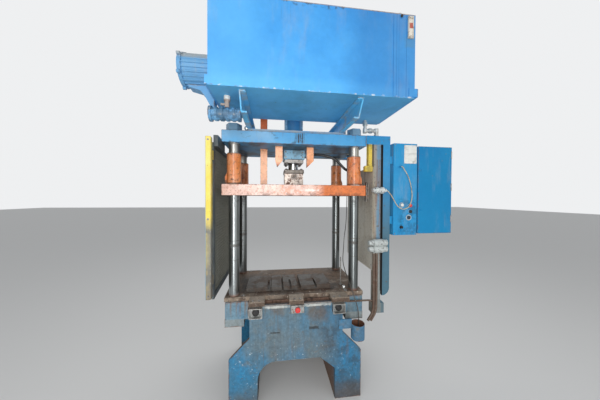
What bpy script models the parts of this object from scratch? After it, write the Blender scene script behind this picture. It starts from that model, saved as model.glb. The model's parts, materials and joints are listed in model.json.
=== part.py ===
"""A four-post hydraulic press with its oil tank, guards and controls.

Everything is in metres with +Z up. Inside the press, x = 0 and y = 0 lie midway between the four
columns, -Y is the operator's side and z = 0 is the floor. One empty carries the whole press and
moves it so that the origin is the middle of the bottom of its bounding box.
"""
import math

import bmesh
import bpy
from mathutils import Matrix, Vector

# Clearances and facets
GAP = 0.0003               # between pieces that touch
RUNNING = 0.0008           # between a column and its sleeve, on the radius
OVERRUN = 0.010            # how far a cutter passes the face it opens
BOLT_BITE = 0.004          # how deep a fused bolt head sits in its plate
ROUND_SIDES = 32
SMALL_SIDES = 16
ARC_STEPS = 6
SHARP_ANGLE = math.radians(35)

# Columns and their nuts
COLUMN_DIAMETER = 0.0762
COLUMN_SPACING_X = 0.934
COLUMN_SPACING_Y = 0.484
SPIGOT_DIAMETER = 0.055
FOOT_SPIGOT = 0.095        # length of the reduced end below the bed's top
NUT_FLATS = 0.100
NUT_HEIGHT = 0.049
THREAD_STICKOUT = 0.006

# Bed with its three tongues
BED_OVERHANG_X = 0.064     # past the columns' axes
BED_OVERHANG_Y = 0.046
BED_THICKNESS = 0.032
BED_TOP = 0.761
TONGUE_FRONT = 0.382       # from the middle of the columns to the tongues' tips
TONGUE_EDGE_SHARES = ((-0.652, -0.443), (-0.113, 0.087), (0.475, 0.731))
BLOCK_HEIGHT = 0.030
BLOCK_EDGE_SHARES = ((-0.721, -0.365), (-0.358, -0.198), (-0.177, 0.038), (0.085, 0.546))
BLOCK_DEPTH_SHARES = (-0.73, 0.17)
SLOT_WIDTH = 0.016         # across the slots in the bolster blocks
SLOT_LENGTH = 0.150

# Welded base
BASE_FRONT = 0.369         # from the middle of the columns to the front plate's face
BASE_PLATE = 0.025
BASE_TOP_HALF = 0.340
BASE_FOOT_HALF = 0.484
BASE_FLARE_HIGH = 0.500
BASE_FLARE_LOW = 0.352
ARCH_HALF = 0.284
ARCH_TOP = 0.322
ARCH_TOP_HALF = 0.170
ARCH_SPRING = 0.190        # where the rounded corner starts
ARCH_CHAMFER = 0.231       # where the flame-cut corner starts

# Beams under the ends of the bed
BEAM_INSET = 0.008         # inside the bed's end
BEAM_WIDTH = 0.167
BEAM_OVERHANG = 0.007      # past the bed's front and back
BEAM_HEIGHT = 0.129
PAD_INSET = 0.005
PAD_WIDTH = 0.139
PAD_HEIGHT = 0.053

# Crown
CROWN_OVERHANG_X = 0.082   # past the columns' axes
CROWN_OVERHANG_Y = 0.047
CROWN_THICKNESS = 0.088
CROWN_TOP = 1.988
STRIP_THICKNESS = 0.020
STRIP_DEPTH = 0.150
TRIP_SLOT_MARGIN = 0.008

# Platen, drawn near the top of its stroke
PLATEN_THICKNESS = 0.084
PLATEN_DROP = 0.305        # from the crown's underside to the platen's top
SLEEVE_DIAMETER = 0.104
SLEEVE_HEIGHT = 0.225
GUSSET_HEIGHT = 0.105
GUSSET_REACH = 0.013       # past the sleeve's side
GUSSET_THICKNESS = 0.012

# Tank, its lid and its end rims
TANK_LEFT = 0.533
TANK_RIGHT = 0.685
TANK_FRONT = 0.672
TANK_BACK = 0.190
TANK_HEIGHT = 0.506
TANK_WALL = 0.005
RIM_HEIGHT = 0.050
RIM_RAISE = 0.006
RIM_THICKNESS = 0.018
RIM_TAB = 0.040
RIM_PROUD = 0.006
SEAM_WIDTH = 0.039
SEAM_PROUD = 0.003
SEAM_CENTRE = 0.5625
GAUGE_WIDTH = 0.036
GAUGE_HEIGHT = 0.132
GAUGE_PROUD = 0.010
GAUGE_CENTRE = 0.6515
BREATHER_DIAMETER = 0.034
BREATHER_HEIGHT = 0.022
BREATHER_NECK_SHARE = 0.6
BREATHER_INSET = 0.034     # behind the tank's front

# Channels that carry the tank
CHANNEL_SPACE = 0.0945      # from the columns' axes to the outer faces of the webs
CHANNEL_HEIGHT = 0.102
CHANNEL_FLANGE = 0.038
CHANNEL_WALL = 0.008
CHANNEL_FRONT_TOP = 0.644
CHANNEL_FRONT_BOTTOM = 0.571

# Electric motor on the left end of the tank
MOTOR_Y = -0.420
MOTOR_RAISE = 0.324        # of its axis above the crown's top
MOTOR_RADIUS = 0.094
MOTOR_LENGTH = 0.180
MOTOR_FLANGE_RADIUS = 0.105
MOTOR_FLANGE = 0.020
MOTOR_RIB = 0.006
MOTOR_RIBS = 24
MOTOR_RIB_SHARES = ((0, 0), (0.55, 0), (0.65, 1), (0.90, 1))  # of the pitch, and of the rib's height
BELL_RADIUS = 0.104
BELL_LENGTH = 0.022
BELL_DOME = 0.012
LUG_RADIUS = 0.110
LUG_SIZE = 0.020
LUG_COUNT = 6
BRACKET_WIDTH = 0.070
BRACKET_REACH = 0.181      # from the tank's end to the bracket's tip
BRACKET_DROP = 0.146       # from the motor's underside to the bracket's foot
BRACKET_SHARES = ((0.115, 0), (1, 0), (0.97, 0.10), (0.59, 0.22), (0.45, 0.42), (0.20, 1), (0.115, 1))

# Filter housing and suction pipe under the tank's left end
FILTER_Y = -0.545
FILTER_RAISE = 0.012       # of its axis above the crown's top
FILTER_RADIUS = 0.036
FILTER_LENGTH = 0.185
FILTER_COVER_RADIUS = 0.046
FILTER_COVER = 0.016
FILTER_RIBS = 5
FILTER_RIB_HEIGHT = 0.005
PIPE_RADIUS = 0.014
UNION_RADIUS = 0.019
UNION_HEIGHT = 0.030
PIPE_INSET = 0.102         # from the housing's left end to the pipe

# Cylinder and its rod
BARREL_RADIUS = 0.0775
BARREL_BORE = 0.0640
BARREL_HEIGHT = 0.660      # above the crown's underside
CAP_SIZE = 0.178
CAP_THICKNESS = 0.045
HEAD_SIZE = 0.178
HEAD_HEIGHT = 0.067
RETAINER_RADIUS = 0.050
RETAINER_HEIGHT = 0.042
ROD_RADIUS = 0.0445
PISTON_THICKNESS = 0.045
PISTON_DROP = 0.060        # from the barrel's top to the piston at rest
TIE_ROD_SHARE = 0.76       # place of the tie rods, as a share of the head's half size
TIE_ROD_RADIUS = 0.008
TIE_NUT_FLATS = 0.026
TIE_NUT_HEIGHT = 0.016
COUPLING_SIZE = 0.170
COUPLING_BLOCK = 0.105
COUPLING_FLANGE = 0.036

# Bars between the crown and the platen
BAR_WIDTH = 0.057
BAR_THICKNESS = 0.025
TRIP_X = -0.254
TRIP_Y = -0.070
TRIP_RAISE = 0.472         # above the crown's top
TRIP_LUG = 0.060
STOP_X = (-0.132, 0.116)
STOP_Y = -0.200
STOP_LENGTH = 0.165
STOP_WEDGE = 0.055

# Cam plate on the platen's right end
CAM_Y = -0.280
CAM_LENGTH = 0.154
CAM_DEPTH = 0.030
CAM_THICKNESS = 0.016
CAM_BELOW = 0.042          # below the platen's underside

# Pipe fittings on top of the crown
FITTING_LEFT_X = -0.132
FITTING_RIGHT_X = 0.157
FITTING_RADIUS = 0.030
FITTING_HEIGHT = 0.090
FITTING_SMALL_RADIUS = 0.020

# Left guard
GUARD_SPACE = 0.026        # from the crown's end to the guard's outer face
GUARD_THICKNESS = 0.004
GUARD_FRAME = 0.012
GUARD_FRAME_WIDTH = 0.030
GUARD_FRONT = 0.385
GUARD_BACK = 0.270
GUARD_BOTTOM = 0.800
GUARD_DROP = 0.030         # below the crown's underside
GUARD_BRACKET_BACK = 0.169
GUARD_BRACKET_HEIGHT = 0.040
CURTAIN_WIDTH = 0.034
CURTAIN_DEPTH = 0.040
CURTAIN_Y = -0.480
CURTAIN_BOTTOM = 0.850
CURTAIN_DROP = 0.020       # below the crown's underside
CURTAIN_TAB = 0.060

# Right guard posts, arm and panel
ARM_END = 0.745
ARM_HEIGHT = 0.067
ARM_DROP = 0.003           # below the crown's top
POST_FACE = 0.300          # front faces of the posts
POST_DEPTH = 0.038
POST_WALL = 0.006
POST_INNER = (0.609, 0.670)
POST_OUTER = (0.685, 0.745)
POST_BOTTOM = 0.720
POST_BEND = 0.060
RIGHT_PANEL_X = 0.600
RIGHT_PANEL_BOTTOM = 0.920
RIGHT_PANEL_DROP = 0.160   # below the crown's underside
RIGHT_PANEL_BACK = 0.270
SWITCH_BAR = (0.564, 0.593)
SWITCH_BAR_DROP = 0.150    # below the crown's underside
SWITCH_HEAD = (0.537, 0.602)
SWITCH_HEAD_HEIGHT = 0.045

# Conduit bodies, conduits and junction box on the posts
UPPER_FITTING_DROP = 0.344  # below the crown's underside
UPPER_FITTING_RADIUS = 0.026
UPPER_FITTING_SHARES = (0.6, 0.8, 0.5)  # neck, waist and tail, of its radius
UPPER_FITTING_STEPS = 5
UPPER_FITTING = (0.585, 0.700)
LOWER_FITTING_RAISE = 0.405  # above the posts' feet
LOWER_FITTING_RADIUS = 0.030
LOWER_FITTING_SHARES = (0.6, 0.8)  # small end and mouth, of its radius
LOWER_FITTING_STEPS = 4
LOWER_FITTING = (0.556, 0.703)
LOWER_FITTING_SPREAD = 0.048
CONDUIT_RADIUS = 0.010
CONDUIT_BOTTOM = 0.545
CONDUIT_PLACE_SHARES = (0.30, 0.45)
CONDUIT_BEND = 0.045
CONDUIT_BEND_SHARES = ((0, 0), (0, 0.25), (0, 0.52), (0, 0.70), (0, 0.82), (-0.3, 0.91), (-1, 1))
CROSS_DIAMETER = 0.014
CROSS_DROP = 0.030
JUNCTION_BOX = (0.601, 0.702)
JUNCTION_DEPTH = 0.055
JUNCTION_HEIGHT = 0.078

# Control box and cabinet, hung from the outer post
BOX_FACE = 0.305
BOX_LEFT = 0.772
BOX_WIDTH = 0.203
BOX_DEPTH = 0.120
BOX_HEIGHT = 0.732
BOX_DROP = 0.056           # below the crown's top
BOX_DOOR = 0.018
CABINET_SPACE = 0.009
CABINET_WIDTH = 0.300
CABINET_DEPTH = 0.200
CABINET_HEIGHT = 0.705
CABINET_DROP = 0.073       # below the crown's top
HANGER_HEIGHT = 0.060
HANGER_THICKNESS = 0.008
HANGER_DROPS = (0.668, 0.188)  # below the crown's top
SHEET = 0.002
BUTTON_SHARES = (0.8, 0.7)  # flat front of its radius, straight side of its length
DEVICE_RADIUS = 0.013
DEVICE_BEZEL = 0.017
DEVICE_PROUD = 0.012
DEVICE_TRAVEL = 0.004
GRIP_SHARES = (-0.5, 0.7)  # ends of the selector's grip, of the device's radius
DEVICE_STEM = 0.006
RED_PLACE = (0.143, 0.237)
BLACK_PLACE = (0.144, 0.189)
WHITE_PLACE = (0.070, 0.241)
SELECTOR_PLACE = (0.131, 0.141)
PAIR_PLACE = (0.078, 0.049)
GLAND_PLACE = (0.054, 0.544)
GLAND_RADIUS = 0.008
GLAND_LENGTH = 0.022

# Boxes with the operator's buttons, under the tongues
PALM_WIDTH = 0.090
PALM_HEIGHT = 0.070
PALM_DEPTH = 0.042
PALM_WALL = 0.004
PALM_BACK = 0.012
PALM_RADIUS = 0.024
PALM_CAP = 0.010
PALM_STEM = 0.007
PALM_TRAVEL = 0.006
PALM_X = (-0.2955, 0.301)
STOP_BOX_X = -0.0015
STOP_BOX_WIDTH = 0.097
STOP_BOX_HEIGHT = 0.056
STOP_BOX_DEPTH = 0.028
STOP_BUTTON_RADIUS = 0.019

# Drip cup on the front plate's right edge
CUP_SPACE = 0.115          # from the front plate's edge to the cup's axis
CUP_Y = -0.375
CUP_RADIUS = 0.050
CUP_WALL = 0.004
CUP_TOP = 0.560
CUP_BOTTOM = 0.450
CUP_ARM_HEIGHT = 0.070
CUP_ARM_THICKNESS = 0.008
CUP_ARM_OVERLAP = 0.030

# Hoses and lines
HOSE_DIAMETER = 0.022
# Heights of the hose's path are from the crown's underside
HOSE_PATH = ((0.1235, -0.062, -0.034), (0.150, -0.062, -0.034), (0.205, -0.088, -0.033), (0.303, -0.120, -0.057),
             (0.353, -0.130, -0.084), (0.426, -0.140, -0.158), (0.470, -0.110, -0.165), (0.503, -0.050, -0.135),
             (0.508, 0.000, -0.080), (0.508, 0.000, -0.050))
HOSE_FITTING_RADIUS = 0.016
HOSE_FITTING_LENGTH = 0.034
LINE_DIAMETER = 0.007
# Heights of the line's path are shares of the way from its low end to the crown's underside
LINE_PATH = ((0.610, 0.320, 1), (0.612, 0.320, 0.8553), (0.610, 0.320, 0.6356), (0.601, 0.318, 0.4958),
             (0.579, 0.300, 0.4102), (0.501, 0.100, 0.337), (0.431, -0.100, 0.3015), (0.412, -0.250, 0.2551))
LINE_END = ((-0.027, -0.330, 0.1884), (0, -0.360, 0.116), (0.007, -0.375, 0.058), (0.005, -0.375, 0))  # sideways from the cup's axis
LINE_DIP = 0.040           # of its low end below the cup's rim
CABLE_DIAMETER = 0.006
# Heights of the cable's path are from the upper fitting's axis
CABLE_PATH = ((0.7003, -0.322, 0.000), (0.708, -0.322, 0.000), (0.722, -0.327, -0.015), (0.74, -0.334, -0.043),
              (0.776, -0.336, -0.104), (0.8, -0.338, -0.132), (0.829, -0.339, -0.145), (0.861, -0.339, -0.141),
              (0.886, -0.338, -0.122), (0.906, -0.337, -0.074), (0.909, -0.337, -0.019), (0.893, -0.338, 0.060),
              (0.867, -0.34, 0.122), (0.838, -0.341, 0.166), (0.827, -0.338, 0.185), (0.826, -0.334, 0.188),
              (0.826, -0.3273, 0.188))


# Shared tools

def look(name, colour, roughness, metallic=0):
    """A plain material with the piece's colour in the photograph."""
    material = bpy.data.materials.new(name)
    material.use_nodes = True
    shader = material.node_tree.nodes["Principled BSDF"]
    shader.inputs["Base Color"].default_value = (*colour, 1)
    shader.inputs["Roughness"].default_value = roughness
    shader.inputs["Metallic"].default_value = metallic
    return material


def finish(name, shape, material, parent, place=(0, 0, 0), smooth=False):
    """Turn a bmesh into a named object with outward normals."""
    bmesh.ops.recalc_face_normals(shape, faces=shape.faces)
    mesh = bpy.data.meshes.new(name)
    shape.to_mesh(mesh)
    shape.free()
    mesh.materials.append(material)
    item = bpy.data.objects.new(name, mesh)
    bpy.context.collection.objects.link(item)
    item.parent = parent
    item.location = place
    if smooth:
        mesh.shade_smooth()
        mesh.set_sharp_from_angle(angle=SHARP_ANGLE)
    return item


def empty(name, parent=None, place=(0, 0, 0)):
    item = bpy.data.objects.new(name, None)
    bpy.context.collection.objects.link(item)
    item.parent = parent
    item.location = place
    return item


def block(name, x, y, z, material, parent):
    """A box between three pairs of coordinates, with its origin at its centre."""
    size = [high - low for low, high in (x, y, z)]
    centre = [(high + low) / 2 for low, high in (x, y, z)]
    shape = bmesh.new()
    bmesh.ops.create_cube(shape, size=1, matrix=Matrix.Diagonal((*size, 1)))
    return finish(name, shape, material, parent, centre)


def prism(name, outline, axis, low, high, material, parent, smooth=False):
    """An outline in the plane across the axis, extruded from low to high along it."""
    across = {"x": (1, 2), "y": (0, 2), "z": (0, 1)}[axis]
    along = "xyz".index(axis)
    shape = bmesh.new()
    corners = []
    for pair in outline:
        corner = [0, 0, 0]
        corner[along] = low
        corner[across[0]], corner[across[1]] = pair
        corners.append(shape.verts.new(corner))
    face = shape.faces.new(corners)
    grown = bmesh.ops.extrude_face_region(shape, geom=[face])
    move = [0, 0, 0]
    move[along] = high - low
    moved = [part for part in grown["geom"] if isinstance(part, bmesh.types.BMVert)]
    bmesh.ops.translate(shape, vec=move, verts=moved)
    return finish(name, shape, material, parent, smooth=smooth)


def turned(name, profile, axis, place, material, parent, sides=ROUND_SIDES):
    """A profile of (radius, height) pairs spun about the axis; one that starts off it is a ring."""
    shape = bmesh.new()
    points = [shape.verts.new((radius, 0, height)) for radius, height in profile]
    edges = [shape.edges.new(pair) for pair in zip(points, points[1:])]
    if profile[0][0] > 0:
        edges.append(shape.edges.new((points[-1], points[0])))
    bmesh.ops.spin(shape, geom=points + edges, axis=(0, 0, 1), cent=(0, 0, 0), angle=math.tau,
                   steps=sides, use_merge=True)
    bmesh.ops.remove_doubles(shape, verts=shape.verts, dist=GAP / ROUND_SIDES)
    turn = {"x": Matrix.Rotation(math.radians(90), 4, "Y"),
            "y": Matrix.Rotation(math.radians(-90), 4, "X"),
            "z": Matrix.Identity(4)}[axis]
    bmesh.ops.transform(shape, matrix=turn, verts=shape.verts)
    return finish(name, shape, material, parent, place, smooth=sides > ARC_STEPS)


def rod(name, radius, length, axis, place, material, parent, sides=ROUND_SIDES):
    """A plain cylinder that starts at its place and runs along the axis."""
    profile = ((0, 0), (radius, 0), (radius, length), (0, length))
    return turned(name, profile, axis, place, material, parent, sides)


def hexagon(name, flats, height, axis, place, material, parent):
    """A hexagon bar of the given width across its flats."""
    return rod(name, flats / 2 / math.cos(math.pi / 6), height, axis, place, material, parent, sides=6)


def combine(item, tool, operation="DIFFERENCE"):
    """Cut the tool out of the piece, or join it on, and hide the tool."""
    change = item.modifiers.new(tool.name, "BOOLEAN")
    change.operation = operation
    change.object = tool
    change.solver = "EXACT"
    tool.hide_render = True
    tool.display_type = "WIRE"


def bevel(item, width):
    """Break the sharp edges of a plate or a block."""
    change = item.modifiers.new("edge", "BEVEL")
    change.width = width
    change.segments = 1
    change.limit_method = "ANGLE"


def arc(centre, radius, start, end, steps=ARC_STEPS):
    """Points on an arc, in degrees."""
    points = []
    for step in range(steps + 1):
        angle = math.radians(start + (end - start) * step / steps)
        points.append((centre[0] + radius * math.cos(angle), centre[1] + radius * math.sin(angle)))
    return points


def cord(name, route, diameter, material, parent, resolution=2):
    """A round tube along a smooth curve through the points of its route."""
    ends = (2 * Vector(route[0]) - Vector(route[1]), 2 * Vector(route[-1]) - Vector(route[-2]))
    knots = [ends[0], *map(Vector, route), ends[1]]
    points = []
    for before, start, end, after in zip(knots, knots[1:], knots[2:], knots[3:]):
        count = max(1, round((end - start).length / diameter / 3))
        for step in range(count):
            t = step / count
            points.append((2 * start + (end - before) * t
                           + (2 * before - 5 * start + 4 * end - after) * t ** 2
                           + (3 * start - before - 3 * end + after) * t ** 3) / 2)
    points.append(knots[-2])
    curve = bpy.data.curves.new(name, "CURVE")
    curve.dimensions = "3D"
    curve.bevel_depth = diameter / 2
    curve.bevel_resolution = resolution
    curve.use_fill_caps = True
    spline = curve.splines.new("POLY")
    spline.points.add(len(points) - 1)
    for point, place in zip(spline.points, points):
        point.co = (*place, 1)
    curve.materials.append(material)
    item = bpy.data.objects.new(name, curve)
    bpy.context.collection.objects.link(item)
    item.parent = parent
    return item


def repeated(name, make, places, material, parent):
    """Several copies of one small shape as a single tool for combine."""
    shape = bmesh.new()
    for place in places:
        copy = make(name)
        mesh = copy.data
        mesh.transform(Matrix.Translation(Vector(place) + copy.location))
        shape.from_mesh(mesh)
        bpy.data.objects.remove(copy)
    return finish(name, shape, material, parent)


def column_places(z=0):
    half_x = COLUMN_SPACING_X / 2
    half_y = COLUMN_SPACING_Y / 2
    return [(side * half_x, end * half_y, z) for end in (-1, 1) for side in (-1, 1)]


def column_cutter(name, radius, low, high, material, parent):
    """Four round cutters, one on each column's axis."""
    return repeated(name, lambda title: rod(title, radius, high - low, "z", (0, 0, 0), material, parent),
                    column_places(low), material, parent)


# Sizes that follow the columns' spacing
BED_WIDTH = COLUMN_SPACING_X + 2 * BED_OVERHANG_X
BED_DEPTH = COLUMN_SPACING_Y + 2 * BED_OVERHANG_Y
CROWN_WIDTH = COLUMN_SPACING_X + 2 * CROWN_OVERHANG_X
CROWN_DEPTH = COLUMN_SPACING_Y + 2 * CROWN_OVERHANG_Y
BEAM_OUTER = BED_WIDTH / 2 - BEAM_INSET
BEAM_INNER = BEAM_OUTER - BEAM_WIDTH
BEAM_DEPTH = BED_DEPTH + 2 * BEAM_OVERHANG
PAD_OUTER = BED_WIDTH / 2 - PAD_INSET
PAD_INNER = PAD_OUTER - PAD_WIDTH
GUARD_LEFT_X = CROWN_WIDTH / 2 + GUARD_SPACE
CHANNEL_SPACING = COLUMN_SPACING_X - 2 * CHANNEL_SPACE

# Heights that follow the bed and the crown
BED_UNDERSIDE = BED_TOP - BED_THICKNESS
CROWN_UNDERSIDE = CROWN_TOP - CROWN_THICKNESS
PLATEN_TOP = CROWN_UNDERSIDE - PLATEN_DROP
MOTOR_Z = CROWN_TOP + MOTOR_RAISE
FILTER_Z = CROWN_TOP + FILTER_RAISE
TRIP_TOP = CROWN_TOP + TRIP_RAISE
GUARD_TOP = CROWN_UNDERSIDE - GUARD_DROP
CURTAIN_TOP = CROWN_UNDERSIDE - CURTAIN_DROP
ARM_TOP = CROWN_TOP - ARM_DROP
RIGHT_PANEL_TOP = CROWN_UNDERSIDE - RIGHT_PANEL_DROP
SWITCH_BAR_BOTTOM = CROWN_UNDERSIDE - SWITCH_BAR_DROP
UPPER_FITTING_Z = CROWN_UNDERSIDE - UPPER_FITTING_DROP
LOWER_FITTING_Z = POST_BOTTOM + LOWER_FITTING_RAISE
BOX_TOP = CROWN_TOP - BOX_DROP
BOX_BOTTOM = BOX_TOP - BOX_HEIGHT
CABINET_TOP = CROWN_TOP - CABINET_DROP
CABINET_BOTTOM = CABINET_TOP - CABINET_HEIGHT
HANGER_Z = tuple(CROWN_TOP - drop for drop in HANGER_DROPS)
CHANNEL_BOTTOM = CROWN_TOP + STRIP_THICKNESS + GAP
CHANNEL_TOP = CHANNEL_BOTTOM + CHANNEL_HEIGHT
TANK_BOTTOM = CHANNEL_TOP + GAP
TANK_TOP = TANK_BOTTOM + TANK_HEIGHT
RETAINER_BOTTOM = CROWN_UNDERSIDE - HEAD_HEIGHT - RETAINER_HEIGHT
COUPLING_TOP = PLATEN_TOP + COUPLING_BLOCK + COUPLING_FLANGE
ARM_UNDERSIDE = ARM_TOP - ARM_HEIGHT
CUP_X = BASE_TOP_HALF + CUP_SPACE
LINE_LOW = CUP_TOP - LINE_DIP
LINE_REACH = CROWN_UNDERSIDE - GAP - LINE_LOW

# Routes of the hoses and the cable
HOSE_ROUTE = [(x, y, CROWN_UNDERSIDE + z) for x, y, z in HOSE_PATH]
LINE_PLACES = LINE_PATH + tuple((CUP_X + x, y, share) for x, y, share in LINE_END)
LINE_ROUTE = [(x, y, LINE_LOW + share * LINE_REACH) for x, y, share in LINE_PLACES]
CABLE_ROUTE = [(x, y, UPPER_FITTING_Z + z) for x, y, z in CABLE_PATH]


def base(paint, press):
    """Two profiled plates and two leg plates that carry the bed."""
    top = BED_UNDERSIDE - GAP
    corner = ARCH_TOP - ARCH_SPRING
    outline = [(-BASE_TOP_HALF, top), (-BASE_TOP_HALF, BASE_FLARE_HIGH), (-BASE_FOOT_HALF, BASE_FLARE_LOW),
               (-BASE_FOOT_HALF, 0), (-ARCH_HALF, 0)]
    outline += arc((corner - ARCH_HALF, ARCH_SPRING), corner, 180, 90)
    outline += [(ARCH_TOP_HALF, ARCH_TOP), (ARCH_HALF, ARCH_CHAMFER), (ARCH_HALF, 0), (BASE_FOOT_HALF, 0),
                (BASE_FOOT_HALF, BASE_FLARE_LOW), (BASE_TOP_HALF, BASE_FLARE_HIGH), (BASE_TOP_HALF, top)]
    front = -BASE_FRONT
    back = BED_DEPTH / 2
    frame = prism("base_frame", outline, "y", front, front + BASE_PLATE, paint, press)
    legs = (front + BASE_PLATE - BOLT_BITE, back - BASE_PLATE + BOLT_BITE)
    for side, name in ((-1, "left"), (1, "right")):
        wide = sorted((side * ARCH_HALF, side * (ARCH_HALF + BASE_PLATE)))
        combine(frame, block(f"join_leg_{name}", wide, legs, (0, top), paint, press), "UNION")
    combine(frame, prism("join_rear", outline, "y", back - BASE_PLATE, back, paint, press), "UNION")


def beams(paint, press):
    """Blocks under the ends of the bed that hold the columns' feet, with a pad bar below each."""
    top = BED_UNDERSIDE - GAP
    bottom = top - BEAM_HEIGHT
    half = BEAM_DEPTH / 2
    for side, name in ((-1, "left"), (1, "right")):
        wide = sorted((side * BEAM_OUTER, side * BEAM_INNER))
        beam = block(f"side_beam_{name}", wide, (-half, half), (bottom, top), paint, press)
        bores = column_cutter(f"cut_beam_{name}", SPIGOT_DIAMETER / 2 + GAP,
                              BED_TOP - FOOT_SPIGOT - GAP, top + OVERRUN, paint, press)
        combine(beam, bores)
        wide = sorted((side * PAD_OUTER, side * PAD_INNER))
        pad = block(f"join_pad_{name}", wide, (-half, half), (bottom - PAD_HEIGHT, bottom + BOLT_BITE), paint, press)
        combine(beam, pad, "UNION")


def bed(steel, press):
    """The bed plate with its tongues, and the four bolster blocks that lie on it."""
    half_x = BED_WIDTH / 2
    half_y = BED_DEPTH / 2
    outline = [(-half_x, half_y), (-half_x, -half_y)]
    for left, right in TONGUE_EDGE_SHARES:
        outline += [(left * half_x, -half_y), (left * half_x, -TONGUE_FRONT),
                    (right * half_x, -TONGUE_FRONT), (right * half_x, -half_y)]
    outline += [(half_x, -half_y), (half_x, half_y)]
    plate = prism("bed_plate", outline, "z", BED_UNDERSIDE, BED_TOP, steel, press)
    bevel(plate, BED_THICKNESS / 16)
    combine(plate, column_cutter("cut_bed", SPIGOT_DIAMETER / 2 + GAP, BED_UNDERSIDE - OVERRUN,
                                 BED_TOP + OVERRUN, steel, press))
    depth = [share * half_y for share in BLOCK_DEPTH_SHARES]
    for number, (left, right) in enumerate(BLOCK_EDGE_SHARES, 1):
        wide = (left * half_x, right * half_x)
        piece = block(f"join_block_{number}", wide, depth, (BED_TOP - BOLT_BITE, BED_TOP + BLOCK_HEIGHT), steel, press)
        bevel(piece, BLOCK_HEIGHT / 12)
        middle = sum(wide) / 2
        if number == 1:
            middle = wide[1] - SLOT_WIDTH
        if number != 2:
            slot = block(f"cut_block_{number}", (middle - SLOT_WIDTH / 2, middle + SLOT_WIDTH / 2),
                         (depth[0] - OVERRUN, depth[0] + SLOT_LENGTH),
                         (BED_TOP + BLOCK_HEIGHT / 3, BED_TOP + BLOCK_HEIGHT + OVERRUN), steel, press)
            combine(piece, slot)
        combine(plate, piece, "UNION")


def columns(chrome, steel, press):
    """Four shouldered columns between bed and crown, each with a nut on the crown."""
    spigot = SPIGOT_DIAMETER / 2
    radius = COLUMN_DIAMETER / 2
    low = BED_TOP - FOOT_SPIGOT
    foot = BED_TOP + GAP
    head = CROWN_UNDERSIDE - GAP
    top = CROWN_TOP + NUT_HEIGHT + THREAD_STICKOUT
    profile = ((0, low), (spigot, low), (spigot, foot), (radius, foot), (radius, head), (spigot, head),
               (spigot, top), (0, top))
    corners = ("front_left", "front_right", "back_left", "back_right")
    for corner, place in zip(corners, column_places()):
        column = turned(f"column_{corner}", profile, "z", place, chrome, press)
        seat = (place[0], place[1], CROWN_TOP + GAP)
        combine(column, hexagon(f"join_nut_{corner}", NUT_FLATS, NUT_HEIGHT, "z", seat, steel, press), "UNION")


def crown(paint, press):
    """The top plate, bored for columns and cylinder and slotted for the trip bar, with two strips."""
    half_x = CROWN_WIDTH / 2
    half_y = CROWN_DEPTH / 2
    plate = block("crown_plate", (-half_x, half_x), (-half_y, half_y), (CROWN_UNDERSIDE, CROWN_TOP), paint, press)
    bevel(plate, CROWN_THICKNESS / 30)
    low = CROWN_UNDERSIDE - OVERRUN
    high = CROWN_TOP + OVERRUN
    combine(plate, column_cutter("cut_crown", SPIGOT_DIAMETER / 2 + GAP, low, high, paint, press))
    combine(plate, rod("cut_crown_barrel", BARREL_RADIUS + GAP, high - low, "z", (0, 0, low), paint, press))
    slot_x = BAR_WIDTH / 2 + TRIP_SLOT_MARGIN
    slot_y = BAR_THICKNESS / 2 + TRIP_SLOT_MARGIN
    combine(plate, block("cut_crown_slot", (TRIP_X - slot_x, TRIP_X + slot_x), (TRIP_Y - slot_y, TRIP_Y + slot_y),
                         (low, high), paint, press))
    wide = (-CHANNEL_SPACING / 2, CHANNEL_SPACING / 2)
    tall = (CROWN_TOP - BOLT_BITE, CROWN_TOP + STRIP_THICKNESS)
    edge = half_y - STRIP_THICKNESS
    combine(plate, block("join_strip_front", wide, (-edge, STRIP_DEPTH - edge), tall, paint, press), "UNION")
    combine(plate, block("join_strip_rear", wide, (edge - STRIP_DEPTH, edge), tall, paint, press), "UNION")
    for fitting in crown_fittings(paint, press):
        combine(plate, fitting, "UNION")
    for side, name in ((-1, "left"), (1, "right")):
        outer = side * CHANNEL_SPACING / 2
        inner = outer - side * CHANNEL_FLANGE
        web = outer - side * CHANNEL_WALL
        low = CHANNEL_BOTTOM
        high = CHANNEL_TOP
        section = [(outer, low), (inner, low), (inner, low + CHANNEL_WALL), (web, low + CHANNEL_WALL),
                   (web, high - CHANNEL_WALL), (inner, high - CHANNEL_WALL), (inner, high), (outer, high)]
        rail = prism(f"tank_channel_{name}", section, "y", -CHANNEL_FRONT_BOTTOM, edge, paint, press)
        rake = (CHANNEL_FRONT_TOP - CHANNEL_FRONT_BOTTOM) / CHANNEL_HEIGHT
        for point in rail.data.vertices:
            if point.co.y < 0:
                point.co.y -= (point.co.z - low) * rake


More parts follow.
